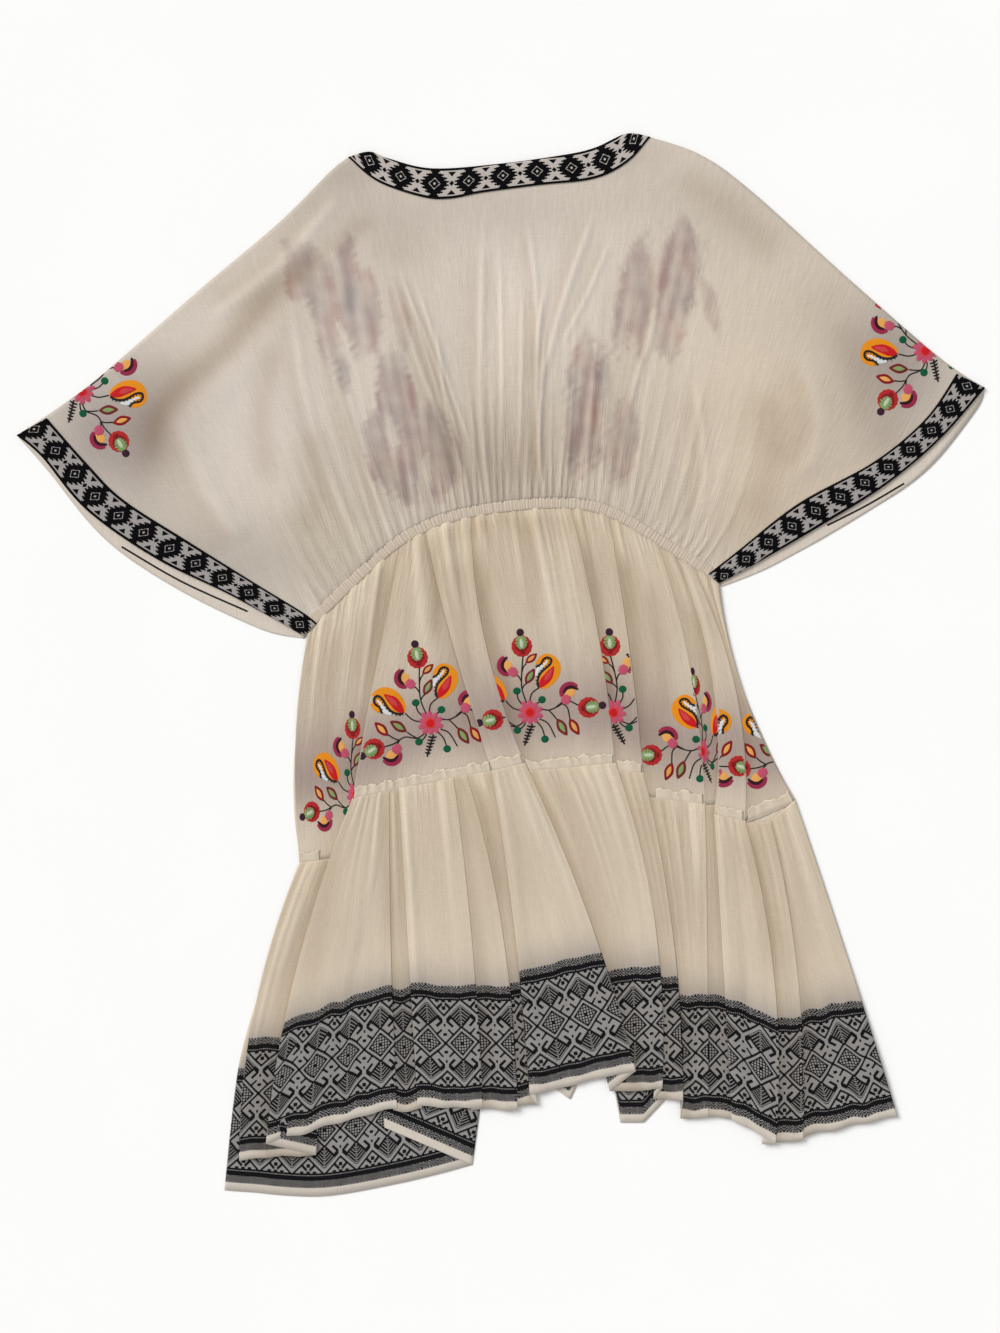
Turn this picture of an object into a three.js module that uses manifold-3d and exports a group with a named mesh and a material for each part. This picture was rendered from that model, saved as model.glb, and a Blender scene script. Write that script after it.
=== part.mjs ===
// Peasant dress laid flat with its back side up: batwing bodice, elastic waist, two gathered tiers.
// Millimetres. X runs across the dress, Y towards the neck, Z up from the surface it lies on.
import * as THREE from "three";
import { mergeVertices } from "three/addons/utils/BufferGeometryUtils.js";
import ManifoldModule from "manifold-3d";

// Cloth and layers
const WALL = 1.0;
const SEAM_GAP = 0.3;
const BACK_BOTTOM = WALL + SEAM_GAP;
const BACK_MIDDLE = BACK_BOTTOM + WALL / 2;
const TRIM_BOTTOM = BACK_BOTTOM + WALL + SEAM_GAP;

// Waist casing, gathers and seam header
const CASING_WIDTH = 10;
const CASING_EDGE = 1.4;
const CASING_CROWN = 2.4;
const CASING_RIB = 0.9;
const GATHER_PITCH = 10.5;
const WAIST_GATHER = 2.4;
const TIER_GATHER = 2.2;
const GATHER_FADE = 0.85;
const GATHER_POWER = 1.4;
const WAIST_FIT = 0.5;
const BODICE_GATHERS = 32;
const BODICE_GATHER_REACH = 130;
const HEADER_HEIGHT = 10;
const HEADER_PITCH = 8;
const HEADER_WAVE = 1.6;
const HEADER_CLEAR = 0.45;

// Pleat folds: share of the fold height taken by one turn, and the slope beside the hidden layers
const TURN_SHARE = 0.23;
const RISE = 7;
const RISE_CLEAR = 2.5;
const EDGE_SHOW = 0.8;
const HEM_LIFT = 1.7;
const HEM_LIFT_RANGE = [1.4, 1.85];

// Colours of the cloth
const GAUZE = { color: 0xe9e3d6, roughness: 0.92, metalness: 0 };
const SKIRT_GAUZE = { color: 0xece4cc, roughness: 0.92, metalness: 0 };
const WOVEN_TRIM = { color: 0x3a3a40, roughness: 0.85, metalness: 0 };

// Outlines of the bodice, each smooth between its ends
const LEFT_CUFF = [[-189, 35], [-251, 74], [-319, 112], [-379, 159], [-416, 208], [-438, 229]];
const LEFT_CUFF_INNER = [[-177, 46], [-190, 57], [-225, 81], [-288, 125], [-345, 166], [-376, 200],
  [-410, 243]];
const LEFT_SHOULDER = [[-438, 229], [-370, 271], [-267, 351], [-192, 408], [-144, 451], [-127, 463]];
const NECK_TOP = [[-127, 463], [-108, 467], [-91, 460], [-52, 449], [8, 450], [67, 455], [95, 460],
  [124, 471], [145, 467]];
const NECK_LOW = [[-127, 463], [-102, 440], [-63, 424], [-38, 421], [-8, 425], [44, 429], [85, 431],
  [108, 437], [128, 449], [145, 467]];
const RIGHT_SHOULDER = [[145, 467], [189, 449], [232, 415], [318, 329], [395, 255], [434, 226]];
const RIGHT_CUFF = [[434, 226], [391, 182], [341, 144], [282, 111], [216, 77], [186, 63]];
const RIGHT_CUFF_INNER = [[409, 240], [379, 201], [331, 165], [261, 131], [204, 91], [177, 72]];
const WAIST_TOP = [[-176, 60], [-114, 112], [-73, 134], [-31, 144], [19, 148], [53, 147], [80, 142],
  [106, 130], [134, 111], [176, 81]];

// Front layer where it shows past the back: cuffs, hem and the corner folded over at the hem
const LEFT_CUFF_FRONT = [[-189, 33], [-229, 44], [-305, 86], [-365, 133], [-412, 196], [-438, 229]];
const RIGHT_CUFF_FRONT = [[434, 226], [425, 206], [376, 153], [309, 113], [234, 76], [188, 60]];
const FRONT_V_POINT = [22, 214];
const FRONT_SEAM = [[-203, -165], [244, -137]];
const FRONT_HEM_LEFT = [[-235, -254], [-267, -343], [-287, -459], [-264, -462], [-201, -469], [-129, -461],
  [-63, -448]];
const FRONT_HEM_MIDDLE = [[-54, -399], [-40, -384], [8, -370], [16, -384], [28, -394], [40, -372], [66, -372],
  [72, -417], [93, -418], [110, -402], [122, -390]];
const FRONT_HEM_RIGHT = [[200, -412], [300, -410], [313, -416], [288, -305], [254, -187]];
const HEM_FLAP = [[-63, -448], [-140, -410], [-140, -384], [-51, -384], [-54, -399]];
const HEM_FLAP_FOLD = [[-63, -448], [-68, -445.6], [-59, -398], [-56, -384], [-51, -384], [-54, -399]];

// Soft folds of the back bodice: a ridge from one point to another
const BODICE_FOLDS = [
  { from: [-8, 405], to: [8, 215], width: 9, height: 2.4 },
  { from: [30, 408], to: [38, 225], width: 8, height: 2.0 },
  { from: [-92, 415], to: [-225, 318], width: 11, height: 2.6 },
  { from: [-62, 405], to: [-185, 255], width: 12, height: 2.2 },
  { from: [108, 415], to: [205, 322], width: 11, height: 2.2 },
  { from: [-190, 150], to: [-300, 215], width: 13, height: 2.4 },
  { from: [200, 175], to: [305, 235], width: 13, height: 2.2 },
];

// Sides of the skirt and its pleats, at the waist, tier 1 middle, seam, tier 2 middle and hem.
// A row with three values starts at the seam. covers: 1 lies over its right neighbour, -1 over its left.
// x, y: the fold's edge. lap: cloth tucked under it. drop: covered layer minus covering layer, along Y.
const LEFT_SIDE = { covers: 0, x: [-169, -202, -204, -252, -272], y: [50, -60, -168, -300, -431] };
const RIGHT_SIDE = { covers: 0, x: [172, 203, 244, 284, 321], y: [71, -36, -135, -280, -424] };
const PLEATS = [
  { covers: -1, x: [-94, -118, -156, -212, -247], y: [100, 2, -112, -265, -418],
    lap: [1, 12, 18, 34, 44], drop: [0, -20, -50, -32, -13], height: [3.4, 5, 5.5, 5.5, 5] },
  { covers: 1, x: [-120, -126, -128], y: [-107, -247, -392],
    lap: [1, 5, 3], drop: [0, -8, -2], height: [3.4, 4, 3.6] },
  { covers: -1, x: [-111, -110, -109], y: [-105.5, -249, -393],
    lap: [1, 4, 3], drop: [0, -9, -2], height: [3.4, 4, 3.6] },
  { covers: 1, x: [-62, -53, -51], y: [-98.5, -240, -396],
    lap: [1, 4, 10], drop: [0, 4, -1], height: [3.4, 4, 4] },
  { covers: 1, x: [-50, -25, -20], y: [-97, -240, -401],
    lap: [1, 5, 6], drop: [0, -2, 2], height: [3.4, 4.4, 4.4] },
  { covers: -1, x: [-75, -56, -33, -14, -8], y: [118, 18, -93.9, -236, -388],
    lap: [1, 7, 3, 4, 6], drop: [0, -2, 0, -8, -9], height: [3.4, 4.6, 3.6, 4.4, 4.4] },
  { covers: 1, x: [-34, -27, 3, 53, 88], y: [128, 22, -89, -230, -370],
    lap: [1, 9, 14, 22, 24], drop: [0, -2, -8, -10, -18], height: [3.4, 5, 5.5, 5.5, 5] },
  { covers: 1, x: [56, 75, 84, 112, 111], y: [130, 22, -93, -236, -388],
    lap: [1, 14, 22, 12, 8], drop: [0, -2, -4, -10, -9], height: [3.4, 5, 5, 4.6, 4.4] },
  { covers: 1, x: [90, 102, 109, 128, 129], y: [118, 12, -103, -252, -400],
    lap: [1, 7, 4, 2, 3], drop: [0, -8, -21, -25, -16], height: [3.4, 5, 5, 4.4, 4.4] },
  { covers: 1, x: [132, 156, 163, 158, 151], y: [95, -10, -134, -270, -417],
    lap: [1, 3, 5, 3, 2], drop: [0, -1, -2, -1, 0], height: [3.4, 3.6, 3.6, 3.4, 3.4] },
  { covers: -1, x: [150, 176, 171, 172, 172], y: [84, -28, -144, -282, -419],
    lap: [1, 7, 9, 8, 5], drop: [0, 4, 9, 8, 1], height: [3.4, 4.6, 5, 4.6, 4.4] },
  { covers: 1, x: [162, 196, 198, 217, 210], y: [77, -35, -151, -298, -444],
    lap: [1, 7, 10, 12, 12], drop: [0, -1, -3, -1, 0], height: [3.4, 4.6, 5, 5, 5] },
  { covers: 1, x: [221, 238, 235], y: [-153, -292, -440],
    lap: [1, 6, 8], drop: [0, 12, 1], height: [3.4, 4.4, 4.4] },
];
const TIER_1 = { gather: WAIST_GATHER, rows: [0, 0.12, 0.3, 0.52, 0.76, 1] };
const TIER_2 = { gather: TIER_GATHER, rows: [1, 1.12, 1.32, 1.55, 1.78, 2] };

// Visible stretches of the ruffled header along the tier seam, with the strip of tier 1 that carries each
const HEADERS = [
  { strip: 0, from: -203, to: -189 },
  { strip: 1, from: -153, to: -36 },
  { strip: 2, from: -31, to: 0 },
  { strip: 3, from: 9, to: 81 },
  { strip: 4, from: 89, to: 106 },
  { strip: 5, from: 121, to: 160 },
  { strip: 7, from: 174, to: 195 },
  { strip: 8, from: 203, to: 241 },
];

// Bodice grid: columns for each stretch of the outline, and rows from the outline down to the waist
const BODICE_COLUMNS = { cuff: 10, shoulder: 12, neck: 20 };
const BODICE_ROWS = [1, 0.9, 0.78, 0.65, 0.52, 0.4, 0.29, 0.19, 0.1, 0.04, 0];
const TRIM_REACH = [45, 80];
const UNDERARM_COLUMNS = [2, 8];

// Steps along a smooth curve, and the distance below which two outline points are one
const CURVE_STEPS = 24;
const SAME_POINT = 0.5;

const lerp = THREE.MathUtils.lerp;
const smoothstep = THREE.MathUtils.smoothstep;

function smoothCurve(points) {
  return new THREE.SplineCurve(points.map(([x, y]) => new THREE.Vector2(x, y)));
}

function sampled(points, count) {
  return smoothCurve(points).getSpacedPoints(count);
}

// The waist line moved down by a distance, as points along it
function waistOffset(distance, count) {
  const curve = smoothCurve(WAIST_TOP);
  const line = [];
  for (let i = 0; i <= count; i += 1) {
    const along = curve.getTangentAt(i / count);
    const point = curve.getPointAt(i / count);
    line.push(new THREE.Vector2(point.x + along.y * distance, point.y - along.x * distance));
  }
  return line;
}

function heightOnLine(line, x) {
  let i = 1;
  while (i < line.length - 1 && line[i].x < x) i += 1;
  const a = line[i - 1];
  const b = line[i];
  return lerp(a.y, b.y, (x - a.x) / (b.x - a.x));
}

// A closed wall between an upper and a lower grid; rows run down the dress, columns run to the right
function closedWall(upper, lower) {
  const rows = upper.length;
  const columns = upper[0].length;
  const positions = [];
  for (const grid of [upper, lower]) {
    for (const row of grid) {
      for (const point of row) positions.push(point.x, point.y, point.z);
    }
  }
  const top = (r, c) => r * columns + c;
  const under = (r, c) => rows * columns + r * columns + c;
  const faces = [];
  for (let r = 0; r + 1 < rows; r += 1) {
    for (let c = 0; c + 1 < columns; c += 1) {
      faces.push(top(r, c), top(r + 1, c), top(r, c + 1), top(r, c + 1), top(r + 1, c), top(r + 1, c + 1));
      faces.push(under(r, c), under(r, c + 1), under(r + 1, c));
      faces.push(under(r, c + 1), under(r + 1, c + 1), under(r + 1, c));
    }
  }
  const side = (r0, c0, r1, c1) => {
    faces.push(top(r0, c0), top(r1, c1), under(r1, c1), top(r0, c0), under(r1, c1), under(r0, c0));
  };
  for (let c = 0; c + 1 < columns; c += 1) {
    side(0, c, 0, c + 1);
    side(rows - 1, c + 1, rows - 1, c);
  }
  for (let r = 0; r + 1 < rows; r += 1) {
    side(r + 1, 0, r, 0);
    side(r, columns - 1, r + 1, columns - 1);
  }
  const geometry = new THREE.BufferGeometry();
  geometry.setAttribute("position", new THREE.Float32BufferAttribute(positions, 3));
  geometry.setIndex(faces);
  geometry.computeVertexNormals();
  return geometry;
}

// A flat piece of cloth from its outline
function plate(outline, bottom) {
  const corners = outline.map((point) => (Array.isArray(point) ? new THREE.Vector2(...point) : point));
  const geometry = new THREE.ExtrudeGeometry(new THREE.Shape(corners), { depth: WALL, bevelEnabled: false });
  return geometry.translate(0, 0, bottom);
}

// Pleat values at a place down the skirt: 0 waist, 1 tier seam, 2 hem
function stationValue(values, t) {
  const upper = values.length === 5 && t <= 1;
  const [a, b, c] = upper ? values.slice(0, 3) : values.slice(-3);
  const u = upper ? t : t - 1;
  return a * (1 - u) * (1 - 2 * u) + 4 * b * u * (1 - u) + c * u * (2 * u - 1);
}

function edgeAt(pleat, t) {
  const edge = { covers: pleat.covers, x: stationValue(pleat.x, t), y: stationValue(pleat.y, t) };
  if (pleat.covers === 0) return edge;
  edge.lap = stationValue(pleat.lap, t);
  edge.drop = stationValue(pleat.drop, t);
  edge.height = stationValue(pleat.height, t);
  edge.turn = edge.height * TURN_SHARE;
  return edge;
}

// Where a pleat's edge (tucked 0) or the end of the cloth tucked under it (tucked 1) lies at a given Y
function pleatAcross(pleat, y, tucked) {
  const start = pleat.x.length === 5 ? 0 : 1;
  const steps = 24;
  let before = null;
  for (let i = 0; i <= steps; i += 1) {
    const edge = edgeAt(pleat, lerp(start, 2, i / steps));
    const x = edge.x - tucked * edge.covers * edge.lap;
    const here = { x, y: edge.y + tucked * edge.drop, height: edge.height };
    if (before && here.y <= y) {
      const share = THREE.MathUtils.clamp((before.y - y) / (before.y - here.y), 0, 1);
      return { x: lerp(before.x, here.x, share), height: lerp(before.height, here.height, share) };
    }
    before = here;
  }
  return before;
}

// How far a strip is raised where it lies over tucked cloth
function pleatLift(left, right, x, y) {
  let lift = 0;
  if (right.covers > 0) {
    const end = pleatAcross(right, y, 1);
    lift = end.height * smoothstep(x, end.x - RISE_CLEAR - RISE, end.x - RISE_CLEAR);
  }
  if (left.covers < 0) {
    const end = pleatAcross(left, y, 1);
    const raised = end.height * (1 - smoothstep(x, end.x + RISE_CLEAR, end.x + RISE_CLEAR + RISE));
    lift = Math.max(lift, raised);
  }
  return lift;
}

function skirtBase(t) {
  return BACK_MIDDLE + HEM_LIFT * smoothstep(t, ...HEM_LIFT_RANGE);
}

// Gathers are full at the top of a tier and fade out towards its lower edge
function gatherHeight(tier, t) {
  return tier.gather * Math.max(0, 1 - (t - tier.rows[0]) / GATHER_FADE) ** GATHER_POWER;
}

// One strip of cloth between two pleats: its hidden ends and its gathered visible part
function stripPoints({ left, right, columns }, tier, t) {
  const a = edgeAt(left, t);
  const b = edgeAt(right, t);
  let seenFrom = a.x;
  let seenTo = b.x;
  if (a.covers > 0) seenFrom = a.x + a.turn + EDGE_SHOW;
  if (a.covers < 0) seenFrom = a.x + a.turn;
  if (b.covers < 0) seenTo = b.x - b.turn - EDGE_SHOW;
  if (b.covers > 0) seenTo = b.x - b.turn;
  const start = a.covers > 0 ? { x: a.x - a.lap + a.turn, y: a.y + a.drop } : { x: seenFrom, y: a.y };
  const end = b.covers < 0 ? { x: b.x + b.lap - b.turn, y: b.y + b.drop } : { x: seenTo, y: b.y };
  const across = (x) => lerp(start.y, end.y, (x - start.x) / (end.x - start.x));
  const inSight = (x, y) => {
    if (a.covers > 0 && x < pleatAcross(left, y, 0).x + a.turn + EDGE_SHOW) return false;
    return b.covers >= 0 || x < pleatAcross(right, y, 0).x - b.turn - EDGE_SHOW;
  };
  const points = [];
  if (a.covers > 0) points.push(new THREE.Vector3(start.x, start.y, skirtBase(t)));
  for (let i = 0; i <= columns; i += 1) {
    const x = lerp(seenFrom, seenTo, i / columns);
    const y = across(x);
    let z = skirtBase(t) + pleatLift(left, right, x, y);
    if (a.covers < 0 && i === 0) z = skirtBase(t) + a.height;
    if (b.covers > 0 && i === columns) z = skirtBase(t) + b.height;
    if (i % 2 === 1 && inSight(x, y)) z += gatherHeight(tier, t);
    points.push(new THREE.Vector3(x, y, z));
  }
  if (b.covers < 0) points.push(new THREE.Vector3(end.x, end.y, skirtBase(t)));
  return points;
}

// The turned cloth between two strips: over the edge, back under it and forward again
function turnPoints(pleat, t) {
  const edge = edgeAt(pleat, t);
  const bend = Math.min(edge.turn, edge.lap / 2);
  const path = [
    { reach: 0, rise: edge.height - edge.turn, share: 0.01 },
    { reach: -bend, rise: edge.height - 2 * edge.turn, share: 0.04 },
    { reach: bend - edge.lap, rise: 2 * edge.turn, share: 0.96 },
    { reach: -edge.lap, rise: edge.turn, share: 0.99 },
  ];
  const points = path.map(({ reach, rise, share }) => new THREE.Vector3(
    edge.x + edge.covers * reach, edge.y + share * edge.drop, skirtBase(t) + rise));
  return edge.covers > 0 ? points : points.reverse();
}

function tierStrips(tier) {
  const first = tier.rows[0];
  const pleats = PLEATS.filter((pleat) => first >= 1 || pleat.x.length === 5);
  const bounds = [LEFT_SIDE, ...pleats, RIGHT_SIDE];
  const strips = [];
  for (let i = 0; i + 1 < bounds.length; i += 1) {
    const width = edgeAt(bounds[i + 1], first).x - edgeAt(bounds[i], first).x;
    const gathers = Math.max(1, Math.round(width / GATHER_PITCH));
    strips.push({ left: bounds[i], right: bounds[i + 1], columns: 2 * gathers });
  }
  return strips;
}

// Middle surface of one tier, row by row
function tierGrid(tier) {
  const strips = tierStrips(tier);
  return tier.rows.map((t) => {
    const row = [];
    for (const strip of strips) {
      row.push(...stripPoints(strip, tier, t));
      if (strip.right.covers !== 0) row.push(...turnPoints(strip.right, t));
    }
    return row;
  });
}

// The top row of tier 1 follows the waist line, fading out down the tier
function fitToWaist(grid, rows) {
  const line = waistOffset(CASING_WIDTH + 2 * SEAM_GAP, 2 * CURVE_STEPS);
  const shifts = grid[0].map((point) => heightOnLine(line, point.x) - point.y);
  grid.forEach((row, r) => {
    const fade = Math.max(0, 1 - rows[r] / WAIST_FIT) ** 2;
    row.forEach((point, c) => { point.y += fade * shifts[c]; });
  });
}

// Draws the row at a seam back, square to the seam, by a little over half its gap
function openSeam(row, next) {
  const last = row.length - 1;
  const moves = row.map((point, c) => {
    const along = row[Math.min(c + 1, last)].clone().sub(row[Math.max(c - 1, 0)]).normalize();
    const back = next[c].clone().sub(point);
    return back.addScaledVector(along, -back.dot(along)).setLength(0.75 * SEAM_GAP);
  });
  row.forEach((point, c) => point.add(moves[c]));
}

// Offsets a middle surface both ways along its own normals, square to its first and last rows
function wallAround(grid) {
  const rows = grid.length;
  const columns = grid[0].length;
  const upper = [];
  const lower = [];
  for (let r = 0; r < rows; r += 1) {
    upper.push([]);
    lower.push([]);
    for (let c = 0; c < columns; c += 1) {
      const point = grid[r][c];
      const right = grid[r][Math.min(c + 1, columns - 1)].clone().sub(point).normalize();
      const left = point.clone().sub(grid[r][Math.max(c - 1, 0)]).normalize();
      const across = right.add(left);
      const down = grid[Math.min(r + 1, rows - 1)][c].clone().sub(grid[Math.max(r - 1, 0)][c]);
      const normal = down.cross(across);
      if (r === 0 || r === rows - 1) normal.set(-across.z, 0, across.x);
      normal.normalize();
      upper[r].push(point.clone().addScaledVector(normal, WALL / 2));
      lower[r].push(point.clone().addScaledVector(normal, -WALL / 2));
    }
  }
  return { upper, lower };
}

// A stretch of header: the last rows of tier 1 followed along X, moved out and waved
function headerGeometry(grid, { strip, from, to }) {
  const strips = tierStrips(TIER_1);
  let first = 0;
  for (let i = 0; i < strip; i += 1) {
    first += stripPoints(strips[i], TIER_1, 1).length + turnPoints(strips[i].right, 1).length;
  }
  const count = stripPoints(strips[strip], TIER_1, 1).length;
  const seam = grid[grid.length - 1].slice(first, first + count);
  const above = grid[grid.length - 2].slice(first, first + count);
  const waves = Math.max(2, Math.round((to - from) / HEADER_PITCH));
  const steps = 3 * waves;
  const lift = WALL + HEADER_CLEAR;
  const upper = [[], [], []];
  const lower = [[], [], []];
  for (let i = 0; i <= steps; i += 1) {
    const x = lerp(from, to, i / steps);
    let c = 1;
    while (c < seam.length - 1 && seam[c].x < x) c += 1;
    const share = (x - seam[c - 1].x) / (seam[c].x - seam[c - 1].x);
    const low = seam[c - 1].clone().lerp(seam[c], share);
    const high = above[c - 1].clone().lerp(above[c], share);
    const wave = [0, 1, 0.25][i % 3];
    [1, 0.5, 0].forEach((reach, row) => {
      const point = low.clone().lerp(high, reach * HEADER_HEIGHT / low.distanceTo(high));
      point.z += lift + wave * HEADER_WAVE * (0.35 + 0.65 * reach);
      upper[row].push(point.clone().setZ(point.z + WALL / 2));
      lower[row].push(point.clone().setZ(point.z - WALL / 2));
    });
  }
  return closedWall(upper, lower);
}

function ridgeHeight({ from, to, width, height }, x, y) {
  const [x0, y0] = from;
  const dx = to[0] - x0;
  const dy = to[1] - y0;
  const length = Math.hypot(dx, dy);
  const along = ((x - x0) * dx + (y - y0) * dy) / length;
  const across = ((x - x0) * dy - (y - y0) * dx) / length;
  const ends = smoothstep(along, 0, 0.3 * length) * (1 - smoothstep(along, 0.7 * length, length));
  return height * ends * Math.exp(-((across / width) ** 2));
}

// Back bodice: a fan of columns from the waist to the cuffs, shoulders and neck
function bodiceGeometry() {
  const outline = [];
  const { cuff, shoulder, neck } = BODICE_COLUMNS;
  const stretches = [
    [LEFT_CUFF, cuff], [LEFT_SHOULDER, shoulder], [NECK_TOP, neck],
    [RIGHT_SHOULDER, shoulder], [RIGHT_CUFF, cuff],
  ];
  for (const [points, count] of stretches) {
    outline.push(...sampled(points, count).slice(outline.length ? 1 : 0));
  }
  const waist = waistOffset(-SEAM_GAP, 2 * BODICE_GATHERS);
  const upper = [];
  const lower = [];
  for (const reach of BODICE_ROWS) {
    upper.push([]);
    lower.push([]);
    outline.forEach((outer, c) => {
      const point = waist[c].clone().lerp(outer, reach);
      const length = waist[c].distanceTo(outer);
      const clearOfTrim = smoothstep((1 - reach) * length, ...TRIM_REACH);
      const fade = Math.max(0, 1 - reach * length / BODICE_GATHER_REACH) ** GATHER_POWER;
      const fromEnd = smoothstep(Math.min(c, outline.length - 1 - c), ...UNDERARM_COLUMNS);
      const gather = c % 2 === 1 ? WAIST_GATHER * fade * fromEnd : 0;
      const ridge = BODICE_FOLDS.reduce((sum, fold) => sum + ridgeHeight(fold, point.x, point.y), 0);
      const bottom = BACK_BOTTOM + clearOfTrim * (gather + ridge);
      lower[lower.length - 1].push(new THREE.Vector3(point.x, point.y, bottom));
      upper[upper.length - 1].push(new THREE.Vector3(point.x, point.y, bottom + WALL));
    });
  }
  return closedWall(upper, lower);
}

// Elastic casing: a ribbed crown over a flat inside
function casingGeometry() {
  const columns = 2 * BODICE_GATHERS;
  const rows = [
    { offset: 0, height: CASING_EDGE, rib: 0.4 },
    { offset: CASING_WIDTH / 2, height: CASING_CROWN, rib: 1 },
    { offset: CASING_WIDTH, height: CASING_EDGE, rib: 0.4 },
  ];
  const lines = rows.map(({ offset }) => waistOffset(offset, columns));
  const lower = lines.map((line) => line.map(({ x, y }) => new THREE.Vector3(x, y, BACK_BOTTOM)));
  const upper = lines.map((line, r) => line.map(({ x, y }, c) => {
    const rib = c % 2 === 1 ? rows[r].rib * CASING_RIB : 0;
    return new THREE.Vector3(x, y, BACK_BOTTOM + rows[r].height + rib);
  }));
  return closedWall(upper, lower);
}

function withoutRepeats(outline) {
  return outline.filter((point, i) => point.distanceTo(outline[(i + 1) % outline.length]) > SAME_POINT);
}

function bandOutline(outer, inner) {
  return withoutRepeats([...sampled(outer, CURVE_STEPS), ...sampled(inner, CURVE_STEPS).reverse()]);
}

// Front layer pieces, flat on the surface
function bodiceFrontOutline() {
  const neckLeft = new THREE.Vector2(...NECK_TOP[0]);
  const neckRight = new THREE.Vector2(...NECK_TOP[NECK_TOP.length - 1]);
  return withoutRepeats([
    ...waistOffset(-SEAM_GAP, CURVE_STEPS), ...sampled(RIGHT_CUFF_FRONT, CURVE_STEPS).reverse(),
    ...sampled(RIGHT_SHOULDER, CURVE_STEPS).reverse(),
    neckRight, new THREE.Vector2(...FRONT_V_POINT), neckLeft,
    ...sampled(LEFT_SHOULDER, CURVE_STEPS).reverse(), ...sampled(LEFT_CUFF_FRONT, CURVE_STEPS).reverse(),
  ]);
}

function tier1FrontOutline() {
  const side = (row) => [0.2, 0.4, 0.6, 0.8].map((t) => {
    return new THREE.Vector2(stationValue(row.x, t), stationValue(row.y, t));
  });
  return [
    ...waistOffset(CASING_WIDTH + SEAM_GAP, CURVE_STEPS), ...side(RIGHT_SIDE),
    ...FRONT_SEAM.map(([x, y]) => new THREE.Vector2(x, y)).reverse(), ...side(LEFT_SIDE).reverse(),
  ];
}

function asSolid(wasm, geometry) {
  const bare = geometry.clone();
  bare.deleteAttribute("normal");
  bare.deleteAttribute("uv");
  const merged = mergeVertices(bare, 1e-4);
  return new wasm.Manifold(new wasm.Mesh({
    numProp: 3,
    vertProperties: new Float32Array(merged.attributes.position.array),
    triVerts: new Uint32Array(merged.index.array),
  }));
}

// Front of tier 2 with the corner that is folded back on itself at the hem
async function tier2FrontGeometry() {
  const wasm = await ManifoldModule();
  wasm.setup();
  const seam = FRONT_SEAM.map(([x, y]) => [x, y - SEAM_GAP]);
  const sheet = plate([...seam.slice(0, 1), ...FRONT_HEM_LEFT, ...FRONT_HEM_MIDDLE, ...FRONT_HEM_RIGHT,
    ...seam.slice(1)], 0);
  const flapBottom = BACK_BOTTOM;
  const fold = new THREE.ExtrudeGeometry(
    new THREE.Shape(HEM_FLAP_FOLD.map((point) => new THREE.Vector2(...point))),
    { depth: flapBottom, bevelEnabled: false }).translate(0, 0, WALL / 2);
  const flap = plate(HEM_FLAP, flapBottom);
  const joined = asSolid(wasm, sheet).add(asSolid(wasm, flap)).add(asSolid(wasm, fold));
  const mesh = joined.getMesh();
  const geometry = new THREE.BufferGeometry();
  geometry.setAttribute("position", new THREE.Float32BufferAttribute(mesh.vertProperties, 3));
  geometry.setIndex(new THREE.Uint32BufferAttribute(mesh.triVerts, 1));
  geometry.computeVertexNormals();
  return geometry;
}

const dress = new THREE.Group();

function addPiece(name, geometry, finish) {
  const mesh = new THREE.Mesh(geometry, new THREE.MeshStandardMaterial(finish));
  mesh.name = name;
  dress.add(mesh);
}

// Front layer
addPiece("bodice_front", plate(bodiceFrontOutline(), 0), GAUZE);
addPiece("waist_casing_front", plate(
  [...waistOffset(0, CURVE_STEPS), ...waistOffset(CASING_WIDTH, CURVE_STEPS).reverse()], 0), SKIRT_GAUZE);
addPiece("skirt_tier1_front", plate(tier1FrontOutline(), 0), SKIRT_GAUZE);
addPiece("skirt_tier2_front", await tier2FrontGeometry(), SKIRT_GAUZE);

// Back layer
addPiece("bodice_back", bodiceGeometry(), GAUZE);
addPiece("waist_casing_back", casingGeometry(), SKIRT_GAUZE);
const tier1 = tierGrid(TIER_1);
fitToWaist(tier1, TIER_1.rows);
openSeam(tier1[tier1.length - 1], tier1[tier1.length - 2]);
const tier2 = tierGrid(TIER_2);
openSeam(tier2[0], tier2[1]);
for (const [name, grid] of [["skirt_tier1_back", tier1], ["skirt_tier2_back", tier2]]) {
  const { upper, lower } = wallAround(grid);
  addPiece(name, closedWall(upper, lower), SKIRT_GAUZE);
}
HEADERS.forEach((header, i) => {
  addPiece(`tier_header_${i + 1}`, headerGeometry(tier1, header), SKIRT_GAUZE);
});

// Woven trims on the back neck and the cuffs
addPiece("neck_trim_back", plate(bandOutline(NECK_TOP, NECK_LOW), TRIM_BOTTOM), WOVEN_TRIM);
addPiece("cuff_trim_left", plate(bandOutline(LEFT_CUFF, LEFT_CUFF_INNER), TRIM_BOTTOM), WOVEN_TRIM);
addPiece("cuff_trim_right", plate(bandOutline(RIGHT_CUFF, RIGHT_CUFF_INNER), TRIM_BOTTOM), WOVEN_TRIM);

export default dress;
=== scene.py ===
"""Looks of a gauze peasant dress laid flat with its back side up. Tables are in millimetres."""
import math
from types import SimpleNamespace

import bpy
import numpy as np
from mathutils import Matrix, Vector
from mathutils.bvhtree import BVHTree


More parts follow.
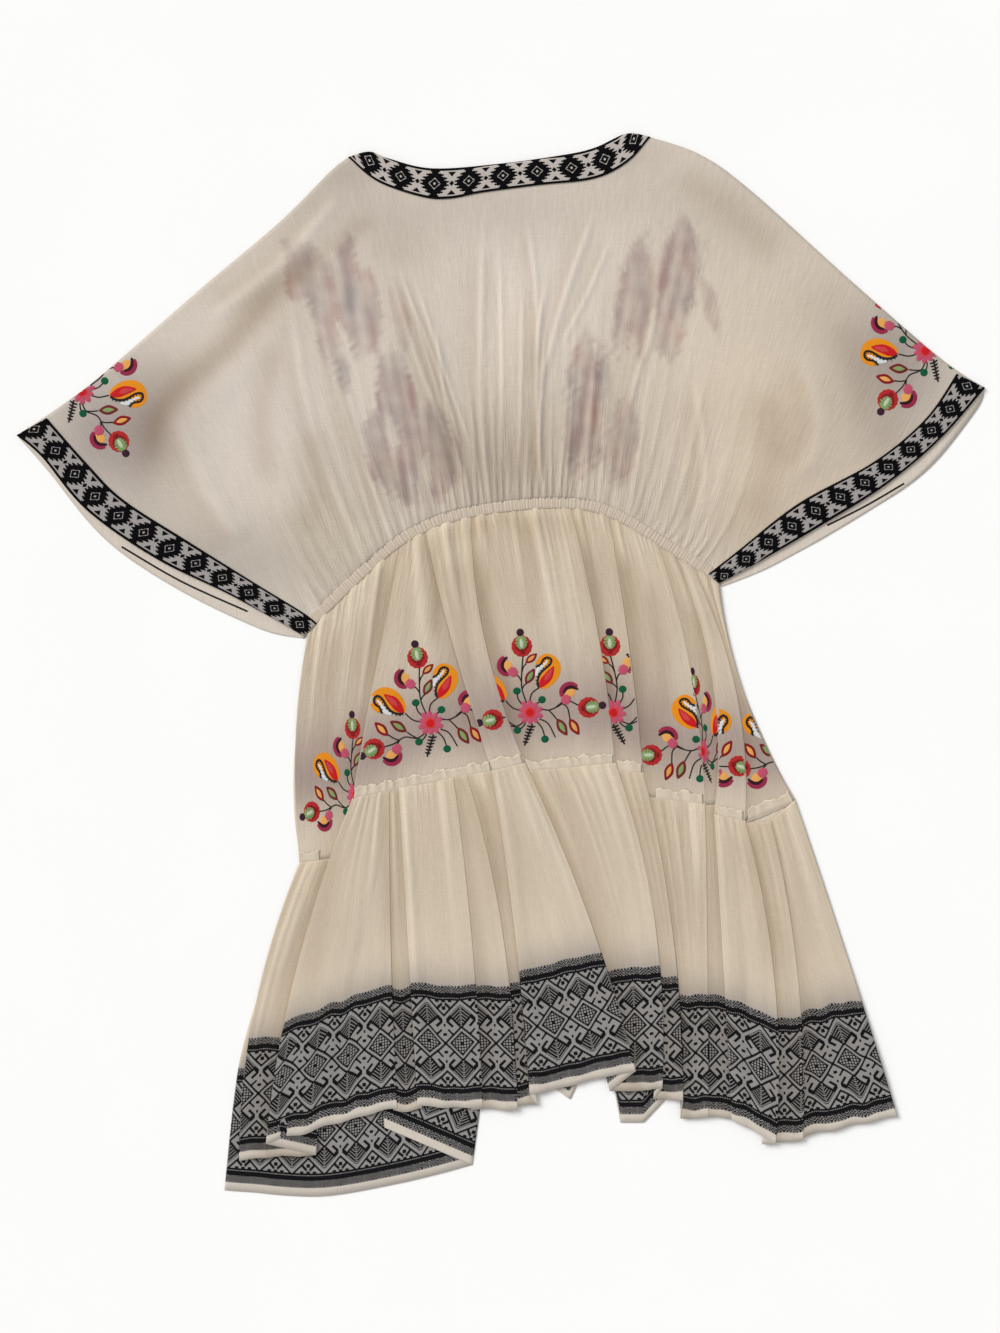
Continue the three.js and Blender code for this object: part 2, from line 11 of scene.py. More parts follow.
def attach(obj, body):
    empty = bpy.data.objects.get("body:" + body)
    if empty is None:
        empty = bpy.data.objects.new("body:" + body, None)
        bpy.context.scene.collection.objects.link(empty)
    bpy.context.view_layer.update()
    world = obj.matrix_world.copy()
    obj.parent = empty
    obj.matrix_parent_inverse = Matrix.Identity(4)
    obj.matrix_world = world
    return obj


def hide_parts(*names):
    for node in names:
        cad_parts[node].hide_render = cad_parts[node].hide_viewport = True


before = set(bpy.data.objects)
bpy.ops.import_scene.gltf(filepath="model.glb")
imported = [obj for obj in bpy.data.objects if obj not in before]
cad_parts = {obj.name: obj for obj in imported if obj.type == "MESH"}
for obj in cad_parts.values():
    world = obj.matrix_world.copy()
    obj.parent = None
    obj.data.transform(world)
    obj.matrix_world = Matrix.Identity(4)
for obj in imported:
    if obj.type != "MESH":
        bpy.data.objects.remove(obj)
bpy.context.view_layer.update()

MM = 0.001


def table(columns, rows):
    """Rows of values with named columns."""
    return [SimpleNamespace(**dict(zip(columns.split(), row))) for row in rows]


# Photograph and floor: height in pixels, millimetres for each, image centre on the dress and its turn
PHOTO_HEIGHT = 1333
MM_PER_PIXEL = 0.9
VIEW_CENTRE = (-14.7, -1.4)
VIEW_TURN = math.radians(-3)
CAMERA_HEIGHT = 2500
FLOOR_SIZE = 12000

# Cloth heights above the surface, wall of the shells, waist casing and tier header
CLOTH = 0.5
FRONT_LAYER = 0.6
BACK_LAYER = 1.8
TRIM_LAYER = 2.75
CASING_WIDTH = 10
CASING_TAILS = (14, 12)
SEAM_GAP = 0.3
SEAM_UNDER = 1.5
HEADER_HEIGHT = 10
HEADER_WALL = 0.4

# Outlines of the bodice, each smooth between its ends
LEFT_CUFF = [(-189, 35), (-251, 74), (-319, 112), (-379, 159), (-416, 208), (-438, 229)]
LEFT_CUFF_INNER = [(-177, 46), (-190, 57), (-225, 81), (-288, 125), (-345, 166), (-376, 200), (-410, 243)]
LEFT_SHOULDER = [(-438, 229), (-370, 271), (-267, 351), (-192, 408), (-144, 451), (-127, 463)]
NECK_TOP = [(-127, 463), (-108, 467), (-91, 460), (-52, 449), (8, 450), (67, 455), (95, 460), (124, 471),
            (145, 467)]
NECK_LOW = [(-127, 463), (-102, 440), (-63, 424), (-38, 421), (-8, 425), (44, 429), (85, 431), (108, 437),
            (128, 449), (145, 467)]
RIGHT_SHOULDER = [(145, 467), (189, 449), (232, 415), (318, 329), (395, 255), (434, 226)]
RIGHT_CUFF = [(434, 226), (391, 182), (341, 144), (282, 111), (216, 77), (186, 63)]
RIGHT_CUFF_INNER = [(409, 240), (379, 201), (331, 165), (261, 131), (204, 91), (177, 72)]
WAIST_TOP = [(-176, 60), (-114, 112), (-73, 134), (-31, 144), (19, 148), (53, 147), (80, 142), (106, 130),
             (134, 111), (176, 81)]

# Front layer where it shows past the back: cuffs, hem and the corner folded over at the hem
LEFT_CUFF_FRONT = [(-189, 33), (-229, 44), (-305, 86), (-365, 133), (-412, 196), (-438, 229)]
RIGHT_CUFF_FRONT = [(434, 226), (425, 206), (376, 153), (309, 113), (234, 76), (188, 60)]
FRONT_V_POINT = (22, 214)
FRONT_SEAM = [(-203, -165), (244, -137)]
FRONT_SIDE_LEFT = [(-203, -165), (-235, -254), (-267, -343), (-287, -459)]
FRONT_SIDE_RIGHT = [(244, -137), (254, -187), (288, -305), (313, -416)]
FRONT_HEM_LEFT = [(-287, -459), (-264, -462), (-201, -469), (-129, -461), (-63, -448)]
FRONT_HEM = [(-54, -399), (-40, -384), (8, -370), (16, -384), (28, -394), (40, -372), (66, -372), (72, -417),
             (93, -418), (110, -402), (122, -390), (200, -412), (300, -410), (313, -416)]
FLAP_HEM = [(-140, -410), (-63, -448)]
FLAP_TOP = [(-140, -384), (-51, -384)]

# Long creases of the back bodice: points from the top down, half width and height of the ridge
BODICE_CREASES = table("line width height", [
    ([(-98, 374), (-76, 283), (-44, 185), (-33, 152)], 4.5, 2.0),
    ([(-87, 367), (-64, 276), (-52, 226)], 3.5, 1.4),
    ([(-56, 313), (-50, 232), (-34, 155)], 4.0, 1.7),
    ([(-8, 406), (-18, 261), (-17, 152)], 5.5, 2.1),
    ([(30, 408), (36, 330), (33, 240)], 5.0, 1.5),
    ([(43, 308), (31, 196), (32, 152)], 3.5, 2.0),
    ([(95, 410), (72, 355), (56, 313), (36, 250)], 5.5, 1.8),
    ([(109, 385), (82, 330), (54, 282)], 4.0, 1.2),
    ([(149, 377), (139, 299), (117, 238), (98, 150)], 4.5, 2.0),
    ([(-162, 368), (-156, 299), (-138, 221), (-108, 130)], 5.0, 2.0),
    ([(-185, 344), (-179, 270), (-167, 207), (-140, 120)], 6.0, 2.0),
    ([(-147, 299), (-127, 205), (-96, 135)], 4.5, 1.7),
    ([(174, 251), (178, 158), (160, 105)], 6.0, 1.8),
    ([(-88, 360), (-57, 271), (-36, 183)], 3.5, 1.6),
    ([(-75, 359), (-50, 266), (-26, 183)], 3.5, 1.5),
    ([(50, 363), (33, 277), (31, 155)], 4.0, 1.7),
    ([(5, 391), (1, 263), (-7, 157)], 4.5, 1.5),
    ([(24, 354), (17, 242), (9, 156)], 4.0, 1.4),
    ([(-130, 438), (-190, 372), (-262, 322)], 11, 2.2),
    ([(-290, 240), (-268, 170), (-235, 120)], 15, 2.4),
    ([(270, 270), (285, 200), (262, 150)], 16, 2.0),
])

# Soft hollows of the back bodice: points along each, half width, strength of the shade
BODICE_HOLLOWS = table("line width shade", [
    ([(-150, 386), (-202, 344), (-240, 303), (-283, 267), (-310, 236), (-322, 175)], 14, 1.1),
    ([(-198, 310), (-218, 230), (-211, 165)], 13, 0.6),
    ([(-100, 411), (-145, 385), (-186, 345)], 11, 0.6),
    ([(235, 239), (240, 173), (215, 112)], 16, 0.55),
    ([(160, 440), (215, 395), (262, 345)], 16, 0.5),
    ([(300, 300), (322, 240), (318, 190)], 15, 0.4),
    ([(-190, 120), (-170, 165), (-175, 230)], 12, 0.5),
    ([(-110, 200), (-95, 160), (-70, 140)], 12, 0.4),
])

# Front embroidery that shows through the sheer back as soft stains: centre, half sizes, turn in degrees
GHOSTS = table("at half turn depth", [
    ((-165, 352), (24, 46), 25, 0.9),
    ((-128, 338), (24, 56), 12, 1.0),
    ((-88, 318), (9, 34), 8, 0.5),
    ((-92, 236), (20, 56), 12, 1.1),
    ((-62, 196), (24, 48), 16, 0.95),
    ((-112, 196), (15, 42), 12, 0.9),
    ((125, 322), (20, 60), -10, 1.0),
    ((164, 346), (25, 48), -4, 1.1),
    ((190, 316), (8, 36), 14, 0.7),
    ((75, 228), (22, 66), -8, 1.1),
    ((106, 196), (16, 44), -8, 0.85),
    ((-150, 292), (12, 40), 10, 0.85),
    ((152, 300), (17, 40), 0, 0.85),
    ((-92, 180), (17, 36), 14, 1.1),
])

# Soft tones of the back bodice, partly painted shade and painted light of its soft folds and gathers, partly
# the front and its embroidery showing through: centre, half sizes, share of each colour that is left
BODICE_SHADE_AND_TONE_ZONES = table("at half tint", [
    ((230, 190), (130, 170), (1.0, 0.95, 0.87)),
    ((0, 412), (205, 32), (0.87, 0.86, 0.855)),
    ((8, 170), (90, 75), (0.78, 0.74, 0.70)),
    ((36, 344), (50, 56), (1.12, 1.12, 1.15)),
    ((-218, 250), (48, 58), (1.09, 1.09, 1.13)),
    ((-210, 338), (28, 26), (0.88, 0.86, 0.84)),
    ((-312, 240), (26, 40), (0.84, 0.80, 0.79)),
    ((-272, 98), (90, 45), (0.73, 0.73, 0.74)),
    ((6, 276), (24, 62), (1.17, 1.17, 1.17)),
    ((-85, 373), (30, 30), (0.90, 0.885, 0.87)),
    ((290, 313), (34, 34), (0.90, 0.88, 0.87)),
    ((217, 114), (34, 30), (0.88, 0.86, 0.82)),
    ((-160, 120), (45, 50), (0.92, 0.90, 0.83)),
    ((283, 168), (45, 60), (0.91, 0.90, 0.89)),
    ((232, 380), (60, 42), (0.91, 0.90, 0.89)),
    ((-358, 226), (54, 58), (0.60, 0.58, 0.62)),
    ((354, 252), (50, 64), (0.57, 0.55, 0.58)),
    ((-132, 452), (36, 24), (0.79, 0.78, 0.77)),
    ((126, 454), (36, 22), (0.83, 0.82, 0.81)),
    ((-328, 214), (22, 62), (0.87, 0.86, 0.86)),
    ((-294, 276), (24, 22), (0.86, 0.85, 0.84)),
    ((340, 182), (28, 26), (0.84, 0.83, 0.83)),
])

# Sides of the skirt and its pleats, at the waist, tier 1 middle, seam, tier 2 middle and hem.
# A row with three values starts at the seam. covers: 1 lies over its right neighbour, -1 over its left.
# x, y: the fold's edge. lap: cloth tucked under it. drop: covered layer minus covering layer, along Y.
LEFT_SIDE, RIGHT_SIDE = table("covers x y", [
    (0, (-185, -202, -204, -252, -272), (40, -60, -168, -300, -431)),
    (0, (186, 203, 244, 284, 321), (64, -36, -135, -280, -424)),
])
PLEATS = table("covers x y lap drop height", [
    (-1, (-98, -126, -153, -212, -247), (100, 2, -112, -265, -418),
     (1, 12, 18, 34, 44), (0, -20, -50, -32, -13), (3.4, 5, 5.5, 5.5, 5)),
    (1, (-120, -126, -128), (-107, -247, -392),
     (1, 5, 3), (0, -8, -2), (3.4, 4, 3.6)),
    (-1, (-111, -110, -109), (-105.5, -249, -393),
     (1, 4, 3), (0, -9, -2), (3.4, 4, 3.6)),
    (1, (-62, -53, -51), (-98.5, -240, -396),
     (1, 4, 10), (0, 4, -1), (3.4, 4, 4)),
    (1, (-50, -25, -20), (-97, -240, -401),
     (1, 5, 6), (0, -2, 2), (3.4, 4.4, 4.4)),
    (-1, (-75, -55, -27, -14, -8), (118, 18, -93.9, -236, -388),
     (1, 7, 3, 4, 6), (0, -2, 0, -8, -9), (3.4, 4.6, 3.6, 4.4, 4.4)),
    (1, (-34, -27, 3, 53, 88), (128, 22, -89, -230, -370),
     (1, 9, 14, 22, 24), (0, -2, -8, -10, -18), (3.4, 5, 5.5, 5.5, 5)),
    (1, (56, 75, 84, 112, 111), (130, 22, -93, -236, -388),
     (1, 14, 22, 12, 8), (0, -2, -4, -10, -9), (3.4, 5, 5, 4.6, 4.4)),
    (1, (90, 102, 109, 128, 129), (118, 12, -103, -252, -400),
     (1, 7, 4, 2, 3), (0, -8, -21, -25, -16), (3.4, 5, 5, 4.4, 4.4)),
    (1, (132, 156, 163, 158, 151), (95, -10, -134, -270, -417),
     (1, 3, 5, 3, 2), (0, -1, -2, -1, 0), (3.4, 3.6, 3.6, 3.4, 3.4)),
    (-1, (150, 176, 171, 172, 172), (84, -28, -144, -282, -419),
     (1, 7, 9, 8, 5), (0, 4, 9, 8, 1), (3.4, 4.6, 5, 4.6, 4.4)),
    (1, (162, 196, 198, 217, 210), (77, -35, -151, -298, -444),
     (1, 7, 10, 12, 12), (0, -1, -3, -1, 0), (3.4, 4.6, 5, 5, 5)),
    (1, (221, 238, 235), (-153, -292, -440),
     (1, 6, 8), (0, 12, 1), (3.4, 4.4, 4.4)),
])

# Folds: bend for each height, rise over tucked cloth and its clearance, rest of the skirt near the hem
TURN_SHARE = 0.23
RISE = 11
RISE_CLEAR = 2.5
EDGE_CLEAR = 0.4
HIDDEN_COLUMNS = 3
HEM_LIFT = 1.7
HEM_LIFT_RANGE = (1.4, 1.85)

# Folds lie lower near the seams: share of their full height at places down the skirt
FOLD_PLACES = (0, 0.45, 0.8, 1, 1.35, 2)
FOLD_SHARES = (0.10, 0.20, 0.19, 0.12, 0.18, 0.24)

# Tiers: place of the top and hem down the skirt, rows of the mesh; pitch, height, reach and random seed
# of the gathers at the top seam, and the share of them that are broad; strength and reach of the crinkles
TIER_1, TIER_2 = table("span rows pitch height reach seed broad crinkle crinkle_reach", [
    ((0, 1), 58, 4.8, 1.4, (22, 170), 11, 0.35, 0.8, 75),
    ((1, 2), 66, 5.6, 1.2, (20, 230), 12, 0.2, 0.6, 55),
])
ROW_CROWDING = 1.15
COLUMN_STEP = 1.4
NEAR_HEM = 0.82

# Soft hollows of the skirt: points along each, half width, strength of the shade
SKIRT_HOLLOWS = table("line width shade", [
    ([(-70, 125), (-69, 70), (-73, 10)], 7, 0.6),
    ([(-48, 110), (-46, 45), (-40, -30)], 8, 0.6),
    ([(-27, 120), (-26, 55), (-12, -10), (-2, -60)], 8, 0.55),
    ([(18, 140), (20, 85), (17, 20)], 9, 0.35),
    ([(66, 120), (76, 55), (82, -10), (85, -70)], 8, 0.4),
    ([(100, 105), (108, 40), (112, -50)], 8, 0.45),
    ([(124, 80), (131, 0), (134, -80)], 8, 0.4),
    ([(-108, 95), (-124, 30), (-136, -30)], 9, 0.4),
    ([(-158, 50), (-172, -30), (-176, -100)], 8, 0.35),
    ([(160, 55), (172, -20), (176, -90)], 7, 0.4),
    ([(-42, -100), (-31, -160), (-20, -225)], 7, 0.4),
    ([(-16, -110), (-9, -200), (-8, -300)], 7, 0.15),
    ([(38, -100), (58, -170), (74, -250)], 9, 0.1),
    ([(104, -115), (120, -190), (130, -280)], 7, 0.2),
    ([(138, -120), (150, -210), (158, -310)], 8, 0.2),
    ([(200, -150), (213, -210), (226, -300)], 10, 0.4),
    ([(-120, -105), (-124, -180), (-126, -270)], 6, 0.4),
    ([(-168, -150), (-188, -230), (-205, -310)], 10, 0.3),
    ([(-85, 112), (-10, 130), (90, 118)], 13, 0.4),
])

# Visible stretches of the ruffled header along the tier seam: strips of tier 1 and ends
HEADER_SEED = 70
HEADERS = table("strip start end", [
    (0, -203, -186),
    (1, -152, -28),
    (2, -26, 1),
    (3, 7, 82),
    (4, 87, 107),
    (5, 119, 161),
    (7, 173, 196),
    (8, 201, 242),
])

# Woven border: cell size, repeat, rows of field and edge band, plain hem below it, fade above it
CELL = 0.835
BORDER_HALF_REPEAT = 18
BORDER_FIELD_ROWS = 46
BORDER_BAND_ROWS = 16
PLAIN_HEM = 7.5
BORDER_FADE = 38
BORDER_MIDDLE = PLAIN_HEM + CELL * (BORDER_FIELD_ROWS + BORDER_BAND_ROWS)

# Woven trim: half repeat and half width in cells of its own chart, width, and each band
TRIM_HALF_REPEAT = 30
TRIM_HALF_ROWS = 24
TRIM_WIDTH = 25
TRIMS = table("node outer inner repeats start tint least", [
    ("neck_trim_back", NECK_TOP, NECK_LOW, 9.1, 0.37,
     (0.82, 0.82, 0.82), TRIM_WIDTH),
    ("cuff_trim_left", LEFT_CUFF, LEFT_CUFF_INNER, 11.5, 0.62,
     (0.57, 0.585, 0.615), 21),
    ("cuff_trim_right", RIGHT_CUFF, RIGHT_CUFF_INNER, 11.56, 0.76,
     (0.57, 0.585, 0.615), 21),
])

# Black edge lines of the front cuffs where they show
CUFF_LINE_WIDTH = 1.7
FRONT_CUFF_LINES = [
    [(-349, 124), (-297, 90), (-239, 60)],
    [(286, 110), (322, 126), (357, 144)],
]

# Colours, linear
BODICE_COLOUR = (0.60, 0.535, 0.46)
SKIRT_COLOUR = (0.628, 0.54, 0.427)
HEM_COLOUR = (0.58, 0.525, 0.455)
BORDER_IVORY = (0.262, 0.25, 0.242)
BORDER_DARK = (0.005, 0.005, 0.006)
TRIM_IVORY = (0.55, 0.50, 0.455)
TRIM_DARK = (0.002, 0.002, 0.003)
GHOST_TINT = (0.69, 0.625, 0.66)
GHOST_RED = (1.08, 0.95, 0.92)
GHOST_BLUE = (0.88, 0.94, 0.96)
# Painted shade, warm: laid in valleys between gathers, ribs and ruffles and beside creases and folds
PAINTED_SHADE_TINT = (0.74, 0.69, 0.63)
TOP_TINT = (1.04, 1.03, 1.01)
CASING_TINT = (0.93, 0.925, 0.96)
# Painted shade along the soft hollows of bodice and skirt
HOLLOW_SHADE_TINT = (0.70, 0.64, 0.575)
EMBROIDERED_TINT = (0.58, 0.53, 0.585)
FADE_TINT = (0.62, 0.64, 0.70)
THREADS = {
    "pink": (0.45, 0.07, 0.125), "rose": (0.27, 0.018, 0.055), "dark rose": (0.028, 0.005, 0.012),
    "crimson": (0.50, 0.008, 0.012), "red": (0.38, 0.018, 0.018), "hatch": (0.52, 0.050, 0.045),
    "dark red": (0.19, 0.006, 0.010), "maroon": (0.14, 0.016, 0.014), "orange": (0.68, 0.235, 0.008),
    "peach": (0.68, 0.33, 0.085), "green": (0.002, 0.080, 0.034), "leaf": (0.19, 0.29, 0.11),
    "yellow": (0.60, 0.29, 0.075), "purple": (0.034, 0.009, 0.024), "white": (0.60, 0.60, 0.61),
    "pale green": (0.45, 0.50, 0.38), "black": (0.013, 0.011, 0.011),
}


def smoothstep(value, low, high):
    share = np.clip((value - low) / (high - low), 0, 1)
    return share * share * (3 - 2 * share)


def ripple(x, y, size, seed):
    """Smooth uneven waves of about one unit, with no direction of their own."""
    rng = np.random.default_rng(seed)
    total = np.zeros(np.broadcast(x, y).shape)
    for _ in range(7):
        turn, phase, stretch = rng.uniform((0, 0, 0.6), (2 * np.pi, 2 * np.pi, 1.7))
        along = x * np.cos(turn) + y * np.sin(turn)
        total += np.sin(2 * np.pi * along * stretch / size + phase)
    return total / 3


def smooth_line(points, steps=24):
    """Points along the smooth curve through a short list."""
    p = np.array(points, float)
    padded = np.vstack([p[:1], p, p[-1:]])
    s = np.linspace(0, 1, steps, endpoint=False)[:, None]
    parts = []
    for a, b, c, d in zip(padded, padded[1:], padded[2:], padded[3:]):
        slope_b = (c - a) / 2
        slope_c = (d - b) / 2
        parts.append((2 * b - 2 * c + slope_b + slope_c) * s ** 3
                     + (3 * c - 3 * b - 2 * slope_b - slope_c) * s ** 2 + slope_b * s + b)
    return np.vstack([*parts, p[-1:]])


def lengths_along(line):
    steps = np.linalg.norm(np.diff(line, axis=0), axis=1)
    return np.concatenate([[0], np.cumsum(steps)])


def cloth_lengths(points):
    """Length of cloth between each point of a grid and its first row."""
    steps = np.linalg.norm(np.diff(points, axis=0), axis=2)
    return np.concatenate([np.zeros((1, steps.shape[1])), np.cumsum(steps, axis=0)])


def evenly(line, count):
    """A line as evenly spaced points."""
    line = np.asarray(line, float)
    lengths = lengths_along(line)
    at = np.linspace(0, lengths[-1], count)
    return np.column_stack([np.interp(at, lengths, line[:, k]) for k in range(line.shape[1])])


def square_to(line):
    """Unit vectors square to a line, to its right."""
    along = np.gradient(line, axis=0)
    along /= np.linalg.norm(along, axis=1)[:, None]
    return np.column_stack([along[:, 1], -along[:, 0]])


def beside_line(x, y, points):
    """Distance to the right of a smooth line, and the share of the way along it."""
    line = smooth_line(points, 6)
    lengths = lengths_along(line)
    nearest = np.full(x.shape, np.inf)
    side = np.zeros_like(x)
    along = np.zeros_like(x)
    for (x0, y0), (x1, y1), start, length in zip(line, line[1:], lengths, np.diff(lengths)):
        share = np.clip(((x - x0) * (x1 - x0) + (y - y0) * (y1 - y0)) / length ** 2, 0, 1)
        away = np.hypot(x - x0 - share * (x1 - x0), y - y0 - share * (y1 - y0))
        closer = away < nearest
        turn = (x - x0) * (y1 - y0) - (y - y0) * (x1 - x0)
        side = np.where(closer, np.sign(turn) * away, side)
        along = np.where(closer, (start + share * length) / lengths[-1], along)
        nearest = np.minimum(nearest, away)
    return side, along


def fading_ends(along, first, last):
    """1 along a line, and less before the first share of the way and after the last."""
    return smoothstep(along, 0, first) * (1 - smoothstep(along, last, 1))


def waist_offset(distance, count, tails=(0, 0)):
    """The waist line moved down, with a straight tail at each end."""
    line = smooth_line(WAIST_TOP)
    way = np.gradient(line, axis=0)[[0, -1]]
    way /= np.linalg.norm(way, axis=1)[:, None]
    line = evenly(np.vstack([line[0] - tails[0] * way[0], line, line[-1] + tails[1] * way[1]]), count)
    return line + square_to(line) * distance


def mixed_tint(tint, colour, share):
    return tint * (1 - share[..., None] * (1 - np.array(colour)))


def cloth_grid(flat, z, uv, tint=1.0, crease=0.0):
    """A grid of cloth: its points, and the place in the pattern, tint and crinkle at each."""
    return SimpleNamespace(points=np.dstack([flat, z]), uv=uv, tint=np.ones((*z.shape, 3)) * tint,
                           crease=np.zeros(z.shape) + crease)


def grid_faces(rows, columns):
    return [(r * columns + c, (r + 1) * columns + c, (r + 1) * columns + c + 1, r * columns + c + 1)
            for r in range(rows - 1) for c in range(columns - 1)]


# Skirt: reach of what changes beside a fold and below a seam, and the fold height that shades fully

ROOM_REACH = 6
SWELL_REACH = 4
SHADE_REACH = 12
FULL_SHADE = 5
GATHER_START = 6
TOP_REACH = 45
WAIST_FIT = 0.5


def station(values, t):
    """A pleat's value at a place down the skirt: 0 waist, 1 tier seam, 2 hem."""
    upper = len(values) == 5 and t <= 1
    a, b, c = values[:3] if upper else values[-3:]
    u = t if upper else t - 1
    return a * (1 - u) * (1 - 2 * u) + 4 * b * u * (1 - u) + c * u * (2 * u - 1)


def edge_at(pleat, t):
    """A fold's edge, or a side of the skirt, at a place down the skirt."""
    edge = SimpleNamespace(covers=pleat.covers, x=station(pleat.x, t), y=station(pleat.y, t))
    edge.lap = edge.drop = edge.height = edge.full = edge.turn = 0
    if edge.covers:
        edge.lap = station(pleat.lap, t)
        edge.drop = station(pleat.drop, t)
        edge.full = station(pleat.height, t)
        edge.height = edge.full * np.interp(t, FOLD_PLACES, FOLD_SHARES)
        edge.turn = edge.height * TURN_SHARE
    return edge


def pleat_across(pleat, y, tucked):
    """Where a pleat's edge (tucked 0) or the end of the cloth under it (tucked 1) lies at each Y."""
    start = 0 if len(pleat.x) == 5 else 1
    edges = [edge_at(pleat, t) for t in np.linspace(start, 2, 49)]
    down = [-(edge.y + tucked * edge.drop) for edge in edges]
    x = np.interp(-y, down, [edge.x - tucked * edge.covers * edge.lap for edge in edges])
    height = np.interp(-y, down, [edge.height for edge in edges])
    return x, height


def skirt_base(t):
    return BACK_LAYER + HEM_LIFT * smoothstep(t, *HEM_LIFT_RANGE)


def pleat_lift(left, right, x, y):
    """How far a strip is raised where it lies over tucked cloth."""
    lift = np.zeros_like(x)
    if right.covers > 0:
        end, height = pleat_across(right, y, 1)
        lift = height * smoothstep(x, end - RISE_CLEAR - RISE, end - RISE_CLEAR)
    if left.covers < 0:
        end, height = pleat_across(left, y, 1)
        lift = np.maximum(lift, height * (1 - smoothstep(x, end + RISE_CLEAR, end + RISE_CLEAR + RISE)))
    return lift


def turn_row(pleat, t):
    """The turned cloth at a pleat: round the edge, back under it and forward again."""
    edge = edge_at(pleat, t)
    turn, lap, height = edge.turn, edge.lap, edge.height
    bend = min(turn, lap / 2)
    quarter = np.linspace(0, np.pi / 2, 4)
    first, middle = quarter[1:], quarter[1:-1]
    reach = np.concatenate([
        turn * (np.sin(first) - 1), bend * (np.cos(first) - 1),
        bend * (1 - np.sin(quarter)) - lap, turn * (1 - np.cos(middle)) - lap])
    rise = np.concatenate([
        height - turn * (1 - np.cos(first)), height - turn * (1 + np.sin(first)),
        turn * (1 + np.cos(quarter)), turn * (1 - np.sin(middle))])
    share = np.clip(-reach / lap, 0, 1)
    share[:len(first)] = 0
    share[-len(middle):] = 1
    row = np.column_stack([edge.x + edge.covers * reach, edge.y + share * edge.drop, skirt_base(t) + rise])
    return row if edge.covers > 0 else row[::-1]


def strip_gathers(strip, tier, rng):
    """Uneven ridges that run down a strip from its gathered top: place, half width, height, length."""
    width = max(edge_at(strip.right, tier.span[0]).x - edge_at(strip.left, tier.span[0]).x, 4)
    count = max(2, round(width / tier.pitch))
    place = (np.arange(count) + 0.5 + rng.uniform(-0.3, 0.3, count)) / count
    broad = rng.uniform(0, 1, count) < tier.broad
    half = rng.uniform(0.26, 0.42, count) * (1 + 0.9 * broad) / count
    height = tier.height * rng.uniform(0.4, 0.9, count) * (1 + 0.8 * broad)
    low, high = tier.reach
    length = (low + (high - low) * rng.uniform(0, 1, count) ** 1.6) * (1 + 0.4 * broad)
    return np.column_stack([place, half, height, length])


def gather_relief(gathers, share, down):
    relief = np.zeros_like(share)
    for place, half, height, length in gathers:
        fade = max(0.0, 1 - down / length) ** 1.3
        relief += height * fade * np.exp(-((share - place) / half) ** 2)
    return relief * (0.3 + 0.7 * smoothstep(down, 0, GATHER_START))


def beside_folds(strip, t, x, y):
    """Next to the folds of a strip: room for gathers, the painted shade on a covered strip and a painted
    highlight (negative shade) along an edge that lies on top, and the swell over a covered edge.
    """
    room = np.ones_like(x)
    shade = np.zeros_like(x)
    swell = np.zeros_like(x)
    for pleat, side in ((strip.left, 1), (strip.right, -1)):
        edge = edge_at(pleat, t)
        if not edge.covers:
            continue
        away = side * (x - pleat_across(pleat, y, 0)[0]) - edge.turn
        near = np.exp(-(away / SWELL_REACH) ** 2)
        room *= smoothstep(away, 0, ROOM_REACH)
        if edge.covers == side:
            beside = np.exp(-np.maximum(away, 0) / SHADE_REACH)
            shade = np.maximum(shade, edge.full / FULL_SHADE * beside)
            swell += 0.4 * edge.height * near
        else:
            shade -= 0.16 * near
    return room, shade, swell


def strip_row(strip, tier, t):
    """One row of a strip: its visible stretch, and the ends that its neighbours cover."""
    a = edge_at(strip.left, t)
    b = edge_at(strip.right, t)
    under_left, under_right = a.covers > 0, b.covers < 0
    seen_from = a.x + a.turn + EDGE_CLEAR * under_left
    seen_to = b.x - b.turn - EDGE_CLEAR * under_right
    start = (a.x - a.lap + a.turn, a.y + a.drop) if under_left else (seen_from, a.y)
    end = (b.x + b.lap - b.turn, b.y + b.drop) if under_right else (seen_to, b.y)
    x = seen_from + (seen_to - seen_from) * strip.share
    y = np.interp(x, (start[0], end[0]), (start[1], end[1]))
    room, shade, swell = beside_folds(strip, t, x, y)
    relief = gather_relief(strip.gathers, strip.share, strip.length * (t - tier.span[0])) * room
    z = skirt_base(t) + pleat_lift(strip.left, strip.right, x, y) + swell + relief
    along = strip.share * strip.wide
    if under_left and not under_right:
        along = x - b.x + strip.wide
    elif under_right and not under_left:
        along = x - a.x
    points = [np.column_stack([x, y, z])]
    values = [np.column_stack([relief, shade, strip.start + along])]
    hidden = np.zeros((HIDDEN_COLUMNS, 3)) + (0, 0.8, strip.start)
    inside = np.linspace(0, 1, HIDDEN_COLUMNS + 1)[:, None]
    if under_left:
        tip = np.array((*start, skirt_base(t)))
        points.insert(0, tip + (points[0][0] - tip) * inside[:-1])
        values.insert(0, hidden)
    if under_right:
        last = points[-1][-1]
        points.append(last + ((*end, skirt_base(t)) - last) * inside[1:])
        values.append(hidden)
    return np.vstack(points), np.vstack(values)


